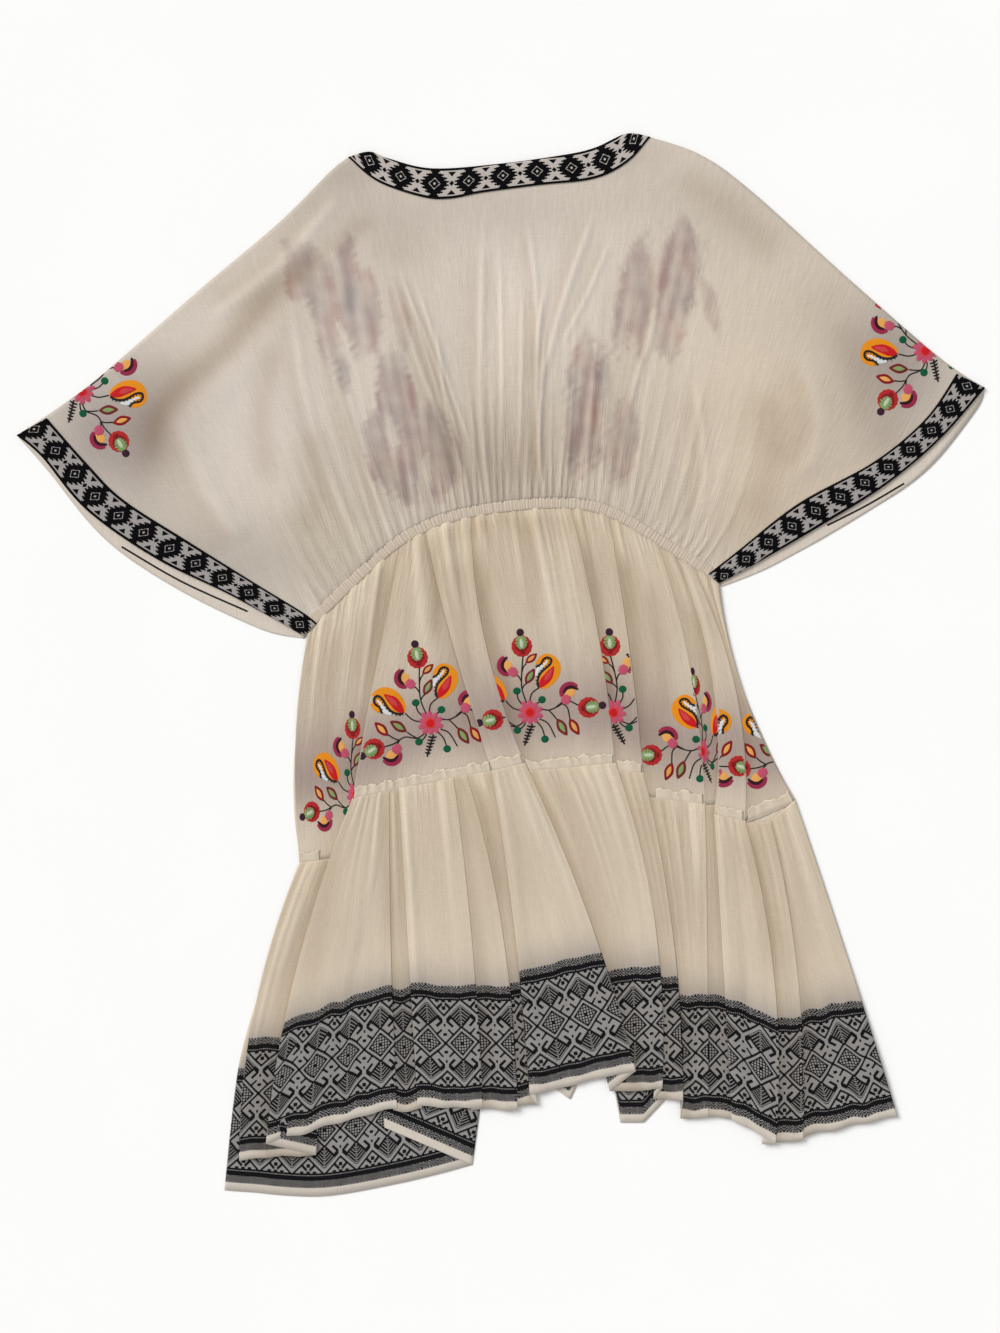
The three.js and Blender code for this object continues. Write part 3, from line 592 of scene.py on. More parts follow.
def skirt_strips(tier):
    """The strips of a tier between its folds."""
    first, last = tier.span
    near_hem = first + NEAR_HEM * (last - first)
    rng = np.random.default_rng(tier.seed)
    bounds = [LEFT_SIDE, *[pleat for pleat in PLEATS if first >= 1 or len(pleat.x) == 5], RIGHT_SIDE]
    strips = []
    for left, right in zip(bounds, bounds[1:]):
        widest = max(edge_at(right, t).x - edge_at(left, t).x for t in (first, last))
        strip = SimpleNamespace(left=left, right=right)
        strip.share = np.linspace(0, 1, max(8, round(widest / COLUMN_STEP)))
        strip.length = np.hypot(edge_at(left, last).x - edge_at(left, first).x,
                                edge_at(left, last).y - edge_at(left, first).y)
        strip.gathers = strip_gathers(strip, tier, rng)
        strip.wide = edge_at(right, near_hem).x - edge_at(left, near_hem).x
        strip.start = strips[-1].start + strips[-1].wide + 2 * edge_at(left, near_hem).lap if strips else 0
        strips.append(strip)
    return strips


def row_places(tier):
    return np.linspace(0, 1, tier.rows) ** ROW_CROWDING


def skirt_sheet(tier):
    """One tier as a grid: points, relief of the gathers, shade beside folds, and the strip of each column."""
    strips = skirt_strips(tier)
    first, last = tier.span
    grid, values = [], []
    for t in first + (last - first) * row_places(tier):
        row, row_values, owner = [], [], []
        drawn = [strip_row(strip, tier, t) for strip in strips]
        for i, (points, extra) in enumerate(drawn):
            row.append(points)
            row_values.append(extra)
            owner += [i] * len(points)
            covers = strips[i].right.covers
            if covers:
                turned = turn_row(strips[i].right, t)
                path = lengths_along(turned)
                along = extra[-1, 2] + path if covers > 0 else drawn[i + 1][1][0, 2] + path - path[-1]
                row.append(turned)
                row_values.append(np.column_stack([0 * path, 0 * path + 0.1, along]))
                owner += [-1] * len(turned)
        grid.append(np.vstack(row))
        values.append(np.vstack(row_values))
    relief, shade, along = np.moveaxis(np.array(values), 2, 0)
    return SimpleNamespace(points=np.array(grid), relief=relief, shade=shade, along=along,
                           strip=np.array(owner))


def fit_to_waist(sheet, tier):
    """The top row of tier 1 follows the waist line, fading out down the tier."""
    casing = waist_offset(CASING_WIDTH - SEAM_UNDER, 97, CASING_TAILS)
    line = np.vstack([LEFT_CUFF[0], casing, RIGHT_CUFF[-1]])
    top = sheet.points[0]
    shift = np.interp(top[:, 0], line[:, 0], line[:, 1]) - top[:, 1]
    sheet.points[..., 1] += (np.maximum(0, 1 - row_places(tier) / WAIST_FIT) ** 2)[:, None] * shift


def hem_waves(sheet, tier):
    """Small waves along the hem of tier 2."""
    x, y = sheet.points[..., 0], sheet.points[..., 1]
    near_hem = smoothstep(np.linspace(0, 1, tier.rows), 0.7, 1)[:, None]
    sheet.points[..., 1] += 1.3 * near_hem * ripple(x, 0 * y, 44, 7)
    sheet.points[..., 2] += 0.35 * near_hem * ripple(x, 0.3 * y, 34, 8)


def skirt_tints(sheet, height):
    """Warm shade between gathers, under the top seam and beside the folds that lie over a strip."""
    strength = sheet.relief.max(axis=1, keepdims=True) / height
    valley = np.clip(1 - sheet.relief / (0.6 * height), 0, 1) * np.clip(strength, 0, 1)
    tint = mixed_tint(1, PAINTED_SHADE_TINT, 0.5 * valley)
    # Painted shade beside folds; where the shade is negative it is a painted highlight along the edges on top
    tint = mixed_tint(tint, PAINTED_SHADE_TINT, 0.85 * np.clip(sheet.shade, -0.25, 1))
    x, y = sheet.points[..., 0], sheet.points[..., 1]
    for hollow in SKIRT_HOLLOWS:
        side, along = beside_line(x, y, hollow.line)
        shade = np.exp(-(side / np.where(side > 0, 1.3, 0.7) / hollow.width) ** 2)
        tint = mixed_tint(tint, HOLLOW_SHADE_TINT, hollow.shade * fading_ends(along, 0.2, 0.7) * shade)
    return tint * (1 + 0.025 * ripple(x, 0.5 * y, 60, 5))[..., None]


def finish_tier(sheet, tier):
    """Adds the place in the pattern, the crinkle and the tint of each point of a tier."""
    down = cloth_lengths(sheet.points)
    x = sheet.points[..., 0]
    waves = ripple(x, 0 * x, 52, 9) + 0.7 * ripple(x, 0 * x, 25, 10)
    sheet.uv = np.dstack([sheet.along, down[-1] - down + waves])
    sheet.crease = tier.crinkle * np.exp(-down / tier.crinkle_reach) + 0.08
    sheet.tint = mixed_tint(skirt_tints(sheet, tier.height), TOP_TINT, np.exp(-(down / TOP_REACH) ** 2))


def grey_under_sprays(sheet):
    """The cloth behind the embroidery is greyer, above the line of flowers more than below it."""
    line = np.array(SPRAY_LINE, float)
    above = sheet.points[..., 1] - np.interp(sheet.points[..., 0], line[:, 0], line[:, 1])
    reach = np.where(above > 0, *SPRAY_SHADE_REACH)
    sheet.tint = mixed_tint(sheet.tint, EMBROIDERED_TINT, np.exp(-(above / reach) ** 2))


# Bodice

BODICE_FINENESS = 8
BODICE_ROWS = 84
BODICE_FRONT_ROWS = 30
BODICE_GATHERS = 58
BODICE_GATHER_REACH = (30, 205)
WAIST_LEVEL = 140
GATHER_SPREAD = 0.0019
EDGE_REACH = 30
TRIM_REACH = 24


def bodice_fan(left_cuff, neck, right_cuff, rows, under):
    """A fan of columns from the waist, or a little under its casing, to the bodice's outline."""
    shoulders = smooth_line(LEFT_SHOULDER), smooth_line(RIGHT_SHOULDER)
    stretches = ((smooth_line(left_cuff), 10), (shoulders[0], 12), (neck, 20), (shoulders[1], 12),
                 (smooth_line(right_cuff), 10))
    outline = []
    for line, columns in stretches:
        points = evenly(line, columns * BODICE_FINENESS + 1)
        outline.append(points if not outline else points[1:])
    outline = np.vstack(outline)
    waist = waist_offset(under, len(outline))
    reach = np.linspace(1, 0, rows)[:, None, None]
    return waist + (outline - waist) * reach, np.linalg.norm(outline - waist, axis=1), reach[..., 0]


def waist_gathers(x, y):
    """Uneven pinched gathers that rise from the waist, spreading outwards: ridges, and painted shade beside
    them with a painted highlight (negative shade) on each ridge.
    """
    rng = np.random.default_rng(21)
    waist = evenly(smooth_line(WAIST_TOP), 200)
    low, high = BODICE_GATHER_REACH
    relief = np.zeros_like(x)
    shade = np.zeros_like(x)
    for i in range(BODICE_GATHERS):
        share = (i + 0.5 + rng.uniform(-0.3, 0.3)) / BODICE_GATHERS
        start = waist[0, 0] + (waist[-1, 0] - waist[0, 0]) * share
        up = np.maximum(y - np.interp(start, waist[:, 0], waist[:, 1]), 0)
        lean = np.sign(start) * 16 * smoothstep(abs(start), 80, 160)
        bend = rng.uniform(-5, 5) * np.sin(up / rng.uniform(35, 70))
        sway = lean * (1 - np.exp(-up / 30)) + bend * (1 - np.exp(-up / 40))
        path = start * (1 + GATHER_SPREAD * up) + sway
        reach = low + (high - low) * rng.uniform(0, 1) ** 1.6
        fade = np.maximum(0, 1 - up / reach) ** 0.9
        half = rng.uniform(1.2, 2.0) + 0.007 * up
        side = x - path
        ridge = np.exp(-(side / half) ** 2)
        relief += rng.uniform(0.7, 1.8) * fade * ridge
        beside = np.where(side > 0, np.exp(-side / rng.uniform(3, 8)), 0) * (1 - ridge)
        shade = np.maximum(shade, rng.uniform(0.5, 1) * fade * beside) - 0.25 * fade * ridge
    return relief, shade


def bodice_stains(x, y):
    """How strongly the front embroidery shows through, in streaks along the gathers."""
    stain = np.zeros_like(x)
    for ghost in GHOSTS:
        turn = math.radians(ghost.turn)
        dx, dy = x - ghost.at[0], y - ghost.at[1]
        across = (dx * math.cos(turn) + dy * math.sin(turn)) / ghost.half[0]
        along = (dy * math.cos(turn) - dx * math.sin(turn)) / ghost.half[1]
        away = across ** 2 + along ** 2 + 0.3 * ripple(x, 0.3 * y, 22, 27) + 0.16 * ripple(x, y, 11, 28)
        stain = np.maximum(stain, ghost.depth * (1 - smoothstep(away, 0.4, 1.15)))
    spread = x / (1 + GATHER_SPREAD * (y - WAIST_LEVEL))
    streaks = 0.8 + 0.26 * ripple(spread, 0.1 * y, 12, 24) + 0.16 * ripple(x, 0.6 * y, 16, 25)
    return stain * np.clip(streaks, 0.25, 1.2)


def stained(tint, x, y):
    """A tint with the stains of the front over it, each a little red or blue."""
    stain = bodice_stains(x, y)
    hue = ripple(x, 0.3 * y, 26, 26)
    tint = mixed_tint(tint, GHOST_TINT, stain)
    tint = mixed_tint(tint, GHOST_RED, np.clip(hue - 0.2, 0, 1) * stain)
    return mixed_tint(tint, GHOST_BLUE, np.clip(-hue - 0.3, 0, 1) * stain)


def in_zone(x, y, zone):
    across = (x - zone.at[0]) / zone.half[0]
    along = (y - zone.at[1]) / zone.half[1]
    return np.exp(-(across ** 2 + along ** 2))


def bodice_back_sheet():
    flat, length, reach = bodice_fan(LEFT_CUFF, smooth_line(NECK_TOP), RIGHT_CUFF, BODICE_ROWS, SEAM_UNDER)
    x, y = flat[..., 0], flat[..., 1]
    from_waist = reach * length
    from_edge = (1 - reach) * length
    gathers, shade = waist_gathers(x, y)
    # Painted shade beside the waist gathers, with a painted highlight on their ridges
    tint = mixed_tint(1, PAINTED_SHADE_TINT, 0.7 * np.clip(shade, -0.25, 1))
    for zone in BODICE_SHADE_AND_TONE_ZONES:
        tint = mixed_tint(tint, zone.tint, in_zone(x, y, zone))
    relief = gathers + np.maximum(0.5 + 0.5 * ripple(x, y, 120, 22), 0)
    for crease in BODICE_CREASES:
        side, along = beside_line(x, y, crease.line)
        ends = fading_ends(along, 0.25, 0.85)
        ridge = np.exp(-(side / (np.where(side > 0, 0.5, 0.8) * crease.width)) ** 2)
        relief += 0.8 * crease.height * ends * ridge
        # Painted shade beside each crease and a painted highlight on its ridge
        beside = np.where(side > 0, np.exp(-side / (2.2 * crease.width)), 0) * (1 - ridge) - 0.2 * ridge
        tint = mixed_tint(tint, PAINTED_SHADE_TINT, 0.6 * ends * beside)
    for hollow in BODICE_HOLLOWS:
        side, along = beside_line(x, y, hollow.line)
        strength = hollow.shade * fading_ends(along, 0.2, 0.8)
        tint = mixed_tint(tint, HOLLOW_SHADE_TINT, 0.75 * strength * np.exp(-(side / hollow.width) ** 2))
        relief += strength * np.exp(-(side / hollow.width + 1.6) ** 2)
    from_trim = np.min([beside_line(x, y, trim.inner)[0] for trim in TRIMS], axis=0)
    relief *= smoothstep(from_edge, 0, EDGE_REACH) * smoothstep(from_trim, 1, TRIM_REACH)
    relief *= 0.25 + 0.75 * smoothstep(from_waist, 0, 7)
    tint = stained(tint * (1 + 0.02 * ripple(x, y, 140, 23))[..., None], x, y)
    crease = np.exp(-from_waist / 80) * (1 - smoothstep(np.abs(x), 170, 230)) + 0.12
    uv = np.dstack([x / (1 + GATHER_SPREAD * np.maximum(y - WAIST_LEVEL, -100)), y])
    return cloth_grid(flat, BACK_LAYER + relief, uv, tint, crease)


def bodice_front_sheet():
    v_neck = np.array([NECK_TOP[0], FRONT_V_POINT, NECK_TOP[-1]], float)
    flat = bodice_fan(LEFT_CUFF_FRONT, v_neck, RIGHT_CUFF_FRONT, BODICE_FRONT_ROWS, -SEAM_GAP)[0]
    return cloth_grid(flat, FRONT_LAYER + 0.15 * ripple(flat[..., 0], flat[..., 1], 70, 31), flat)


# Waist casing and tier header

CASING_COLUMNS = 900
CASING_ROWS = 9
RIB_PITCH = 2.7
RUFFLE_STEP = 0.8
RUFFLE_ROWS = 10
RUFFLE_PITCH = 9.5
RUFFLE_FOOT = -0.45


def uneven_phase(count, pitch, length, seed):
    """Phase of a ruffle along a seam, with ruffles of uneven width."""
    rng = np.random.default_rng(seed)
    knots = np.linspace(0, length, max(4, round(length / (1.5 * pitch))))
    steps = rng.uniform(0.6, 1.4, len(knots))
    phase = np.cumsum(steps) / steps.sum() * length / pitch
    return 2 * np.pi * np.interp(np.linspace(0, length, count), knots, phase)


def casing_sheet(base, crown, rib, tails, seed):
    """A narrow channel along the waist, ribbed by the elastic inside it."""
    across = np.linspace(0, 1, CASING_ROWS)[:, None]
    length = lengths_along(waist_offset(0, CASING_COLUMNS, tails))[-1]
    phase = uneven_phase(CASING_COLUMNS, RIB_PITCH, length, seed)
    flat = np.array([waist_offset(CASING_WIDTH * share, CASING_COLUMNS, tails) for share in across[:, 0]])
    from_end = length * (0.5 - np.abs(np.linspace(-0.5, 0.5, CASING_COLUMNS)))
    arch = np.sin(np.pi * (0.08 + 0.84 * across)) ** 0.6 * (0.3 + 0.7 * smoothstep(from_end, 8, 20))
    ribs = np.sin(phase + 0.5 * np.sin(phase / 3)) + 0.3 * np.sin(0.41 * phase + 2)
    flat[..., 1] += 0.5 * (1 - arch) * np.sin(phase)
    stitched = np.exp(-((across - 0.9) / 0.06) ** 2)
    # Painted shade between the ribs and along the stitched line
    shade = 0.7 * np.clip(0.5 - 0.5 * ribs, 0, 1) + 0.45 * stitched
    tint = mixed_tint(np.array(CASING_TINT), PAINTED_SHADE_TINT, np.clip(shade, 0, 1))
    uv = np.dstack(np.broadcast_arrays(np.linspace(0, length, CASING_COLUMNS)[None], CASING_WIDTH * across))
    return cloth_grid(flat, base + crown * arch + rib * arch * ribs, uv, tint)


def header_sheet(tier_1, header, seed):
    """A small ruffle along the tier seam, standing on the last rows of tier 1."""
    columns = np.flatnonzero(tier_1.strip == header.strip)
    seam = tier_1.points[-1, columns]
    above = tier_1.points[-5, columns]
    count = round((header.end - header.start) / RUFFLE_STEP)
    x = np.linspace(header.start, header.end, count)
    low = np.column_stack([x, *[np.interp(x, seam[:, 0], seam[:, k]) for k in (1, 2)]])
    high = np.column_stack([np.interp(x, seam[:, 0], above[:, k]) for k in (0, 1, 2)])
    up = (high - low) / np.linalg.norm(high - low, axis=1)[:, None]
    phase = uneven_phase(count, RUFFLE_PITCH, header.end - header.start, seed)
    wave = 0.5 + 0.5 * np.sin(phase + 0.8 * np.sin(0.43 * phase))
    reach = np.linspace(RUFFLE_FOOT, 1, RUFFLE_ROWS)[:, None]
    free = np.clip(reach, 0, 1)
    tall = HEADER_HEIGHT * (0.86 + 0.1 * np.sin(phase / 2.3 + seed) + 0.06 * np.sin(1.9 * phase))
    points = low + up * (reach * tall)[..., None]
    points[..., 0] += 0.7 * free * np.cos(phase)
    points[..., 1] += 0.9 * free * np.sin(0.7 * phase + 1)
    risen = smoothstep(reach, RUFFLE_FOOT, 0.15)
    points[..., 2] += 1.6 * risen - 1.0 + (0.25 + 0.75 * free) * wave * risen + 0.4 * free ** 3
    edge = smoothstep(reach, 0.82, 1)
    # Painted shade in the dips of the ruffle and a painted highlight along its top edge
    tint = mixed_tint(1, PAINTED_SHADE_TINT, 0.3 * (1 - wave) * (1 - edge)) * (1 + 0.12 * edge)[..., None]
    uv = np.dstack(np.broadcast_arrays(x[None], HEADER_HEIGHT * reach))
    return cloth_grid(points[..., :2], points[..., 2], uv, tint)


# Trims and front of the skirt

TRIM_COLUMNS = 220
TRIM_ROWS = 9


def trim_sheet(trim):
    """A woven band between two lines; its pattern runs along the middle."""
    inner = evenly(smooth_line(trim.inner), TRIM_COLUMNS)
    outer = evenly(smooth_line(trim.outer), TRIM_COLUMNS)
    across = np.linspace(0, 1, TRIM_ROWS)[:, None]
    flat = outer + (inner - outer) * across[..., None]
    length = lengths_along((inner + outer) / 2)
    wide = np.linalg.norm(inner - outer, axis=1)
    share = np.minimum(wide, TRIM_WIDTH) * (1 - across) / np.clip(wide, trim.least, TRIM_WIDTH)
    cells = 2 * TRIM_HALF_REPEAT * (trim.repeats * length / length[-1] + trim.start)
    uv = np.dstack(np.broadcast_arrays(cells[None], (share * 2 - 1) * TRIM_HALF_ROWS))
    edge = np.sin(np.pi * across) ** 0.3
    z = TRIM_LAYER + 0.35 * edge + 0.12 * ripple(flat[..., 0], flat[..., 1], 30, 41)
    return cloth_grid(flat, z, uv, trim.tint)


def front_tier_1_sheet():
    """Front of tier 1 between the waist, the tier seam and its bowed sides."""
    rows, columns = 24, 90
    top = waist_offset(CASING_WIDTH + SEAM_GAP, columns)
    seam = evenly(FRONT_SEAM, columns)
    t = np.linspace(0, 1, rows)[:, None, None]
    side = np.linspace(0, 1, columns)[None, :, None]
    middle = (top[[0, -1]] + seam[[0, -1]]) / 2
    bulge = np.array([(bound.x[1], bound.y[1]) for bound in (LEFT_SIDE, RIGHT_SIDE)]) - middle
    bow = 4 * t * (1 - t) * ((1 - side) ** 3 * bulge[0] + side ** 3 * bulge[1])
    flat = top + (seam - top) * t + bow
    return cloth_grid(flat, np.full((rows, columns), FRONT_LAYER), flat)


def front_tier_2_sheet():
    """Front of tier 2 between its hem, its sides and the tier seam."""
    columns, rows = 300, 44
    hem = evenly(np.vstack([smooth_line(FRONT_HEM_LEFT), FRONT_HEM]), columns)
    seam = evenly(FRONT_SEAM, columns)
    left = evenly(smooth_line(FRONT_SIDE_LEFT)[::-1], rows)[:, None]
    right = evenly(smooth_line(FRONT_SIDE_RIGHT)[::-1], rows)[:, None]
    s = np.linspace(0, 1, columns)[None, :, None]
    t = np.linspace(0, 1, rows)[:, None, None]
    corners = (1 - s) * (1 - t) * hem[0] + s * (1 - t) * hem[-1] + (1 - s) * t * seam[0] + s * t * seam[-1]
    flat = (1 - t) * hem + t * seam + (1 - s) * left + s * right - corners
    z = FRONT_LAYER + 0.2 * ripple(flat[..., 0], flat[..., 1], 60, 51)
    along = np.broadcast_to(lengths_along(hem), z.shape)
    return cloth_grid(flat, z, np.dstack([along, cloth_lengths(flat)]))


def hem_flap_sheet():
    """The corner of the front hem folded over, with the border along its slanting edge."""
    columns, rows = 60, 30
    hem = evenly(FLAP_HEM, columns)
    top = evenly(FLAP_TOP, columns)
    flat = hem + (top - hem) * np.linspace(0, 1, rows)[:, None, None]
    along = (hem[-1] - hem[0]) / np.linalg.norm(hem[-1] - hem[0])
    from_corner = flat - hem[0]
    uv = np.dstack([from_corner @ along, from_corner @ np.array([-along[1], along[0]])])
    from_fold = np.linspace(1, 0, columns) * np.linalg.norm(top[-1] - top[0])
    z = FRONT_LAYER + 1.3 * np.sqrt(np.clip(from_fold / 4, 0, 1))
    return cloth_grid(flat, np.broadcast_to(z, (rows, columns)), uv)


# Embroidery: patches of thread in a spray's own millimetres, from its flower

PATCH_SIDES = 22
STEM_WIDTH = 1.2
LAYER_RISE = 0.16
THREAD_REST = 0.12


class Spray:
    """Collects patches: outlines filled with domed thread, and strokes along a line."""

    def __init__(self):
        self.points, self.faces, self.colours, self.lifts = [], [], [], []

    def add(self, points, faces, colour, layer, dome):
        base = sum(len(p) for p in self.points)
        self.points.append(points)
        self.faces += [tuple(base + i for i in face) for face in faces]
        self.colours.append(np.tile(THREADS[colour], (len(points), 1)))
        self.lifts.append(THREAD_REST + LAYER_RISE * layer + dome)

    def patch(self, outline, colour, layer=0, centre=None):
        outline = np.asarray(outline, float)
        count = len(outline)
        centre = outline.mean(axis=0) if centre is None else centre
        rings = [centre + (outline - centre) * share for share in (1, 0.82, 0.45)]
        points = np.vstack([*rings, centre[None]])
        pairs = [(i, (i + 1) % count) for i in range(count)]
        faces = [(i + start, j + start, j + start + count, i + start + count)
                 for start in (0, count) for i, j in pairs]
        faces += [(2 * count + i, 2 * count + j, 3 * count) for i, j in pairs]
        self.add(points, faces, colour, layer, 0.3 * np.repeat([0, 0.7, 0.95, 1], [count, count, count, 1]))

    def stroke(self, line, colour, width=STEM_WIDTH, layer=0, taper=0.0):
        line = smooth_line(line, 8)
        line = evenly(line, max(5, round(lengths_along(line)[-1] / 1.6)))
        share = np.linspace(0, 1, len(line))
        half = width / 2 * (1 - taper * np.abs(2 * share - 1) ** 2)
        side = square_to(line) * half[:, None]
        points = np.vstack([line - side, line, line + side])
        self.add(points, grid_faces(3, len(line)), colour, layer, 0.35 * np.repeat([0, 1, 0], len(line)))


def oval(x, y, half_long, half_wide, sides=PATCH_SIDES, scallop=0.0):
    """An oval outline, with small scallops where asked."""
    a = np.linspace(0, 2 * np.pi, sides, endpoint=False)
    swell = 1 + scallop * (np.arange(sides) % 2)
    return np.column_stack([x + half_long * swell * np.cos(a), y + half_wide * swell * np.sin(a)])


def placed(points, x, y, turn, size=1.0):
    c, s = math.cos(math.radians(turn)), math.sin(math.radians(turn))
    p = np.asarray(points, float) * size
    return np.column_stack([x + p[:, 0] * c - p[:, 1] * s, y + p[:, 0] * s + p[:, 1] * c])


def flower(spray):
    """Uneven pink petals round a red heart."""
    for i in range(10):
        reach = (8.6, 7.2, 8.0)[i % 3]
        half = [(1, 0), (4, 2.4), (reach + 1.4, 2.3), (reach + 3.4, 0.8)]
        petal = half + [(x, -y) for x, y in half[:0:-1]]
        spray.patch(placed(petal, 0, 0, 36 * i + 11), "pink", i % 2)
    spray.patch(oval(0, 0, 5.2, 5.2, 18, 0.12), "hatch", 2)
    spray.patch(oval(0, 0, 3.9, 3.9), "crimson", 3)


def round_bud(spray, x, y, turn):
    """A round bud that points along turn: red rim, green heart with a pale slit, purple dot at its tip."""

    def part(along, half_long, half_wide, colour, layer, sides=18, scallop=0.0):
        spray.patch(placed(oval(along, 0, half_long, half_wide, sides, scallop), x, y, turn), colour, layer)

    part(0, 9.4, 9.0, "red", 0, 26, 0.06)
    part(1.4, 7.0, 6.6, "dark red", 1, 22, 0.08)
    part(3.0, 6.0, 5.4, "leaf", 2, 20, 0.10)
    part(2.6, 4.6, 1.7, "pale green", 3)
    part(-5.8, 1.5, 2.6, "dark red", 2, 10)
    part(12.4, 3.5, 3.4, "purple", 1)
    for side in (-1, 1):
        for k in range(3):
            stitch = [(5.2 - 2.6 * k, 3.0 * side), (4.4 - 2.6 * k, 5.6 * side)]
            spray.stroke(placed(stitch, x, y, turn), "dark red", 0.7, 3)


CRESCENT = [(0.5, 4.6), (5, 7.3), (10.8, 6.4), (14.6, 2.2), (15.2, -2.6)]
INNER_CRESCENT = [(3.5, 4.6), (8.3, 4.9), (11.8, 2.5), (13.2, -1.2), (13.6, -4.6)]


def curl_bud(spray, x, y, turn):
    """A curled bud along turn from its pink foot: rose crescent, dark inner crescent, peach heart."""
    spray.patch(placed(oval(7.4, 0.4, 5.2, 4.6), x, y, turn), "peach", 0)
    spray.stroke(placed(CRESCENT, x, y, turn), "rose", 5.2, 1, 0.4)
    spray.stroke(placed(INNER_CRESCENT, x, y, turn), "dark rose", 3.4, 2, 0.5)
    spray.patch(placed(oval(0, 0, 4.4, 4.0, 14, 0.14), x, y, turn), "pink", 2)


LEAF_BLADE = [(-0.5, 0), (-0.28, 0.17), (0, 0.24), (0.26, 0.16), (0.5, 0),
              (0.26, -0.18), (0, -0.25), (-0.28, -0.16), (-0.5, 0)]


def leaf(spray, x, y, length, turn, rim, fill):
    outline = smooth_line(np.array(LEAF_BLADE) * length, 3)[:-1]
    spray.patch(placed(outline, x, y, turn), rim, 0)
    spray.patch(placed(outline * (0.66, 0.52), x, y, turn), fill, 1)


PAISLEY_BODY = [(0, -0.5), (1.9, -5.7), (10.4, -11.1), (20.2, -12.2), (28.3, -8.3), (31.9, 0), (30.4, 7.3),
                (24.5, 11), (18.7, 11.4), (20.5, 7.8), (17, 2.2), (11.6, 4.4), (5.4, 4.0), (0, -0.5)]
PAISLEY_HEART = [(0, 0), (5, -5), (12, -7.6), (19, -7.2), (24.5, -4.8), (20, -1.8), (14, 0.6), (8, 2.4),
                 (3, 1.8), (0, 0)]
PAISLEY_HATCH = [(7, -1.4), (11, -5), (16.5, -5.4), (21, -4.4), (17, -2.2), (12, -0.4), (7, -1.4)]
PAISLEY_HOOK = [(16.4, 10.4), (20.2, 7.2), (25.6, 6.4), (28.4, 3.4), (27.6, -0.6), (22.8, -0.6), (17, 2.4),
                (11.6, 4.4), (5.4, 4.0), (0.5, 1.2)]
PAISLEY_COMMA = [(26.0, 2.9), (22.5, 3.4), (18.8, 5.6), (14.8, 7.4), (9, 7.0)]


def paisley(spray, x, y, turn, size):
    """A paisley along turn from its base: orange body, red heart, pale comma inside a black hook."""

    def at(points):
        return placed(points, x, y, turn, size)

    spray.patch(at(smooth_line(PAISLEY_BODY, 4)[:-1]), "orange", 0, at([(18, -2)])[0])
    spray.patch(at(smooth_line(PAISLEY_HEART, 4)[:-1]), "crimson", 1)
    spray.patch(at(smooth_line(PAISLEY_HATCH, 4)[:-1]), "hatch", 2)
    spray.stroke(at(PAISLEY_COMMA), "white", 3.9 * size, 1, 0.55)
    spray.stroke(at(PAISLEY_HOOK), "black", 1.9 * size, 2)
    hook = evenly(smooth_line(PAISLEY_HOOK, 8), 17)
    for point, outward in zip(hook[1:-1], square_to(hook)[1:-1]):
        spray.stroke(at([point, point + outward * 1.9]), "black", 0.9, 2)
    for k in range(4):
        spray.stroke(at([(9 + 3 * k, -1.6), (11.5 + 3 * k, -4.6)]), "pink", 0.5, 3)


# Parts of a spray: place and turn, then size and colours where they differ
BUDS = [(0, 60, 90), (53, -2, 2), (-54, -13, 200)]
CURLS = [(-10.8, 38, 123), (33.5, 7.5, 52), (-34, -17, 219)]
PAISLEYS = [(11.2, 20.6, 61, 1.0), (-21, 13.5, 138, 1.05)]
LEAVES = [
    (4, 32, 16.4, 54, "maroon", "leaf"), (7, 48, 13.7, 33, "dark red", "yellow"),
    (27, -16.5, 18, -66, "maroon", "leaf"), (38, -17.5, 17.4, -66, "dark red", "yellow"),
    (-28.6, 2.5, 18, 137, "maroon", "leaf"), (-44, 3, 17.4, 124, "dark red", "peach"),
]
GREEN_DOTS = [(-9.3, 20.5), (12.2, 10), (-13.2, -14.5), (10.5, -25.5)]
STEMS = [
    [(-2, 9), (-4.5, 22), (-3, 36), (0, 51)], [(-4, 28), (-6, 33), (-9, 36)],
    [(-4.4, 22), (-2, 25), (0, 26)], [(-3, 36), (-1, 41), (2, 44)], [(1, 10), (4, 17), (11, 21)],
    [(-9, 3), (-15, 6), (-20.5, 13)], [(10, 2), (17, 0), (25, 2), (35, 6), (44, 1)],
    [(24, 2), (29, 5), (33, 7)], [(17, 0), (20, -4), (23, -9)], [(30, 4), (34, 0), (35, -10)],
    [(-5, -7), (-14, -11), (-25, -8), (-36, -12), (-45, -13)], [(-14, -11), (-18, -8), (-22, -4)],
    [(-30, -10), (-35, -7), (-39, -3)], [(-30, -10), (-33, -13), (-34, -16)], [(-6, 8), (-9, 13), (-9.3, 18)],
    [(6, 7), (9, 8), (12, 10)], [(-5, -9), (-9, -13), (-13, -14)], [(5, -9), (9, -15), (10.5, -23)],
    [(8, -7), (15, -12), (20, -25)],
]
FERN = [(1, -10.5), (-4, -20), (-8.5, -29)]


def full_spray():
    spray = Spray()
    for line in STEMS:
        spray.stroke(line, "black")
    spray.stroke(FERN, "black", 1.6)
    for i, point in enumerate(evenly(FERN, 8)[1:7]):
        half = 3.8 - 0.3 * i
        spray.stroke([point + (-half, 1.6), point, point + (half, 0)], "black", 2.0, 0, 0.5)
    for x, y in GREEN_DOTS:
        spray.patch(oval(x, y, 3.5, 3.3), "green")
    for draw, rows in ((leaf, LEAVES), (paisley, PAISLEYS), (curl_bud, CURLS), (round_bud, BUDS)):
        for row in rows:
            draw(spray, *row)
    flower(spray)
    return spray


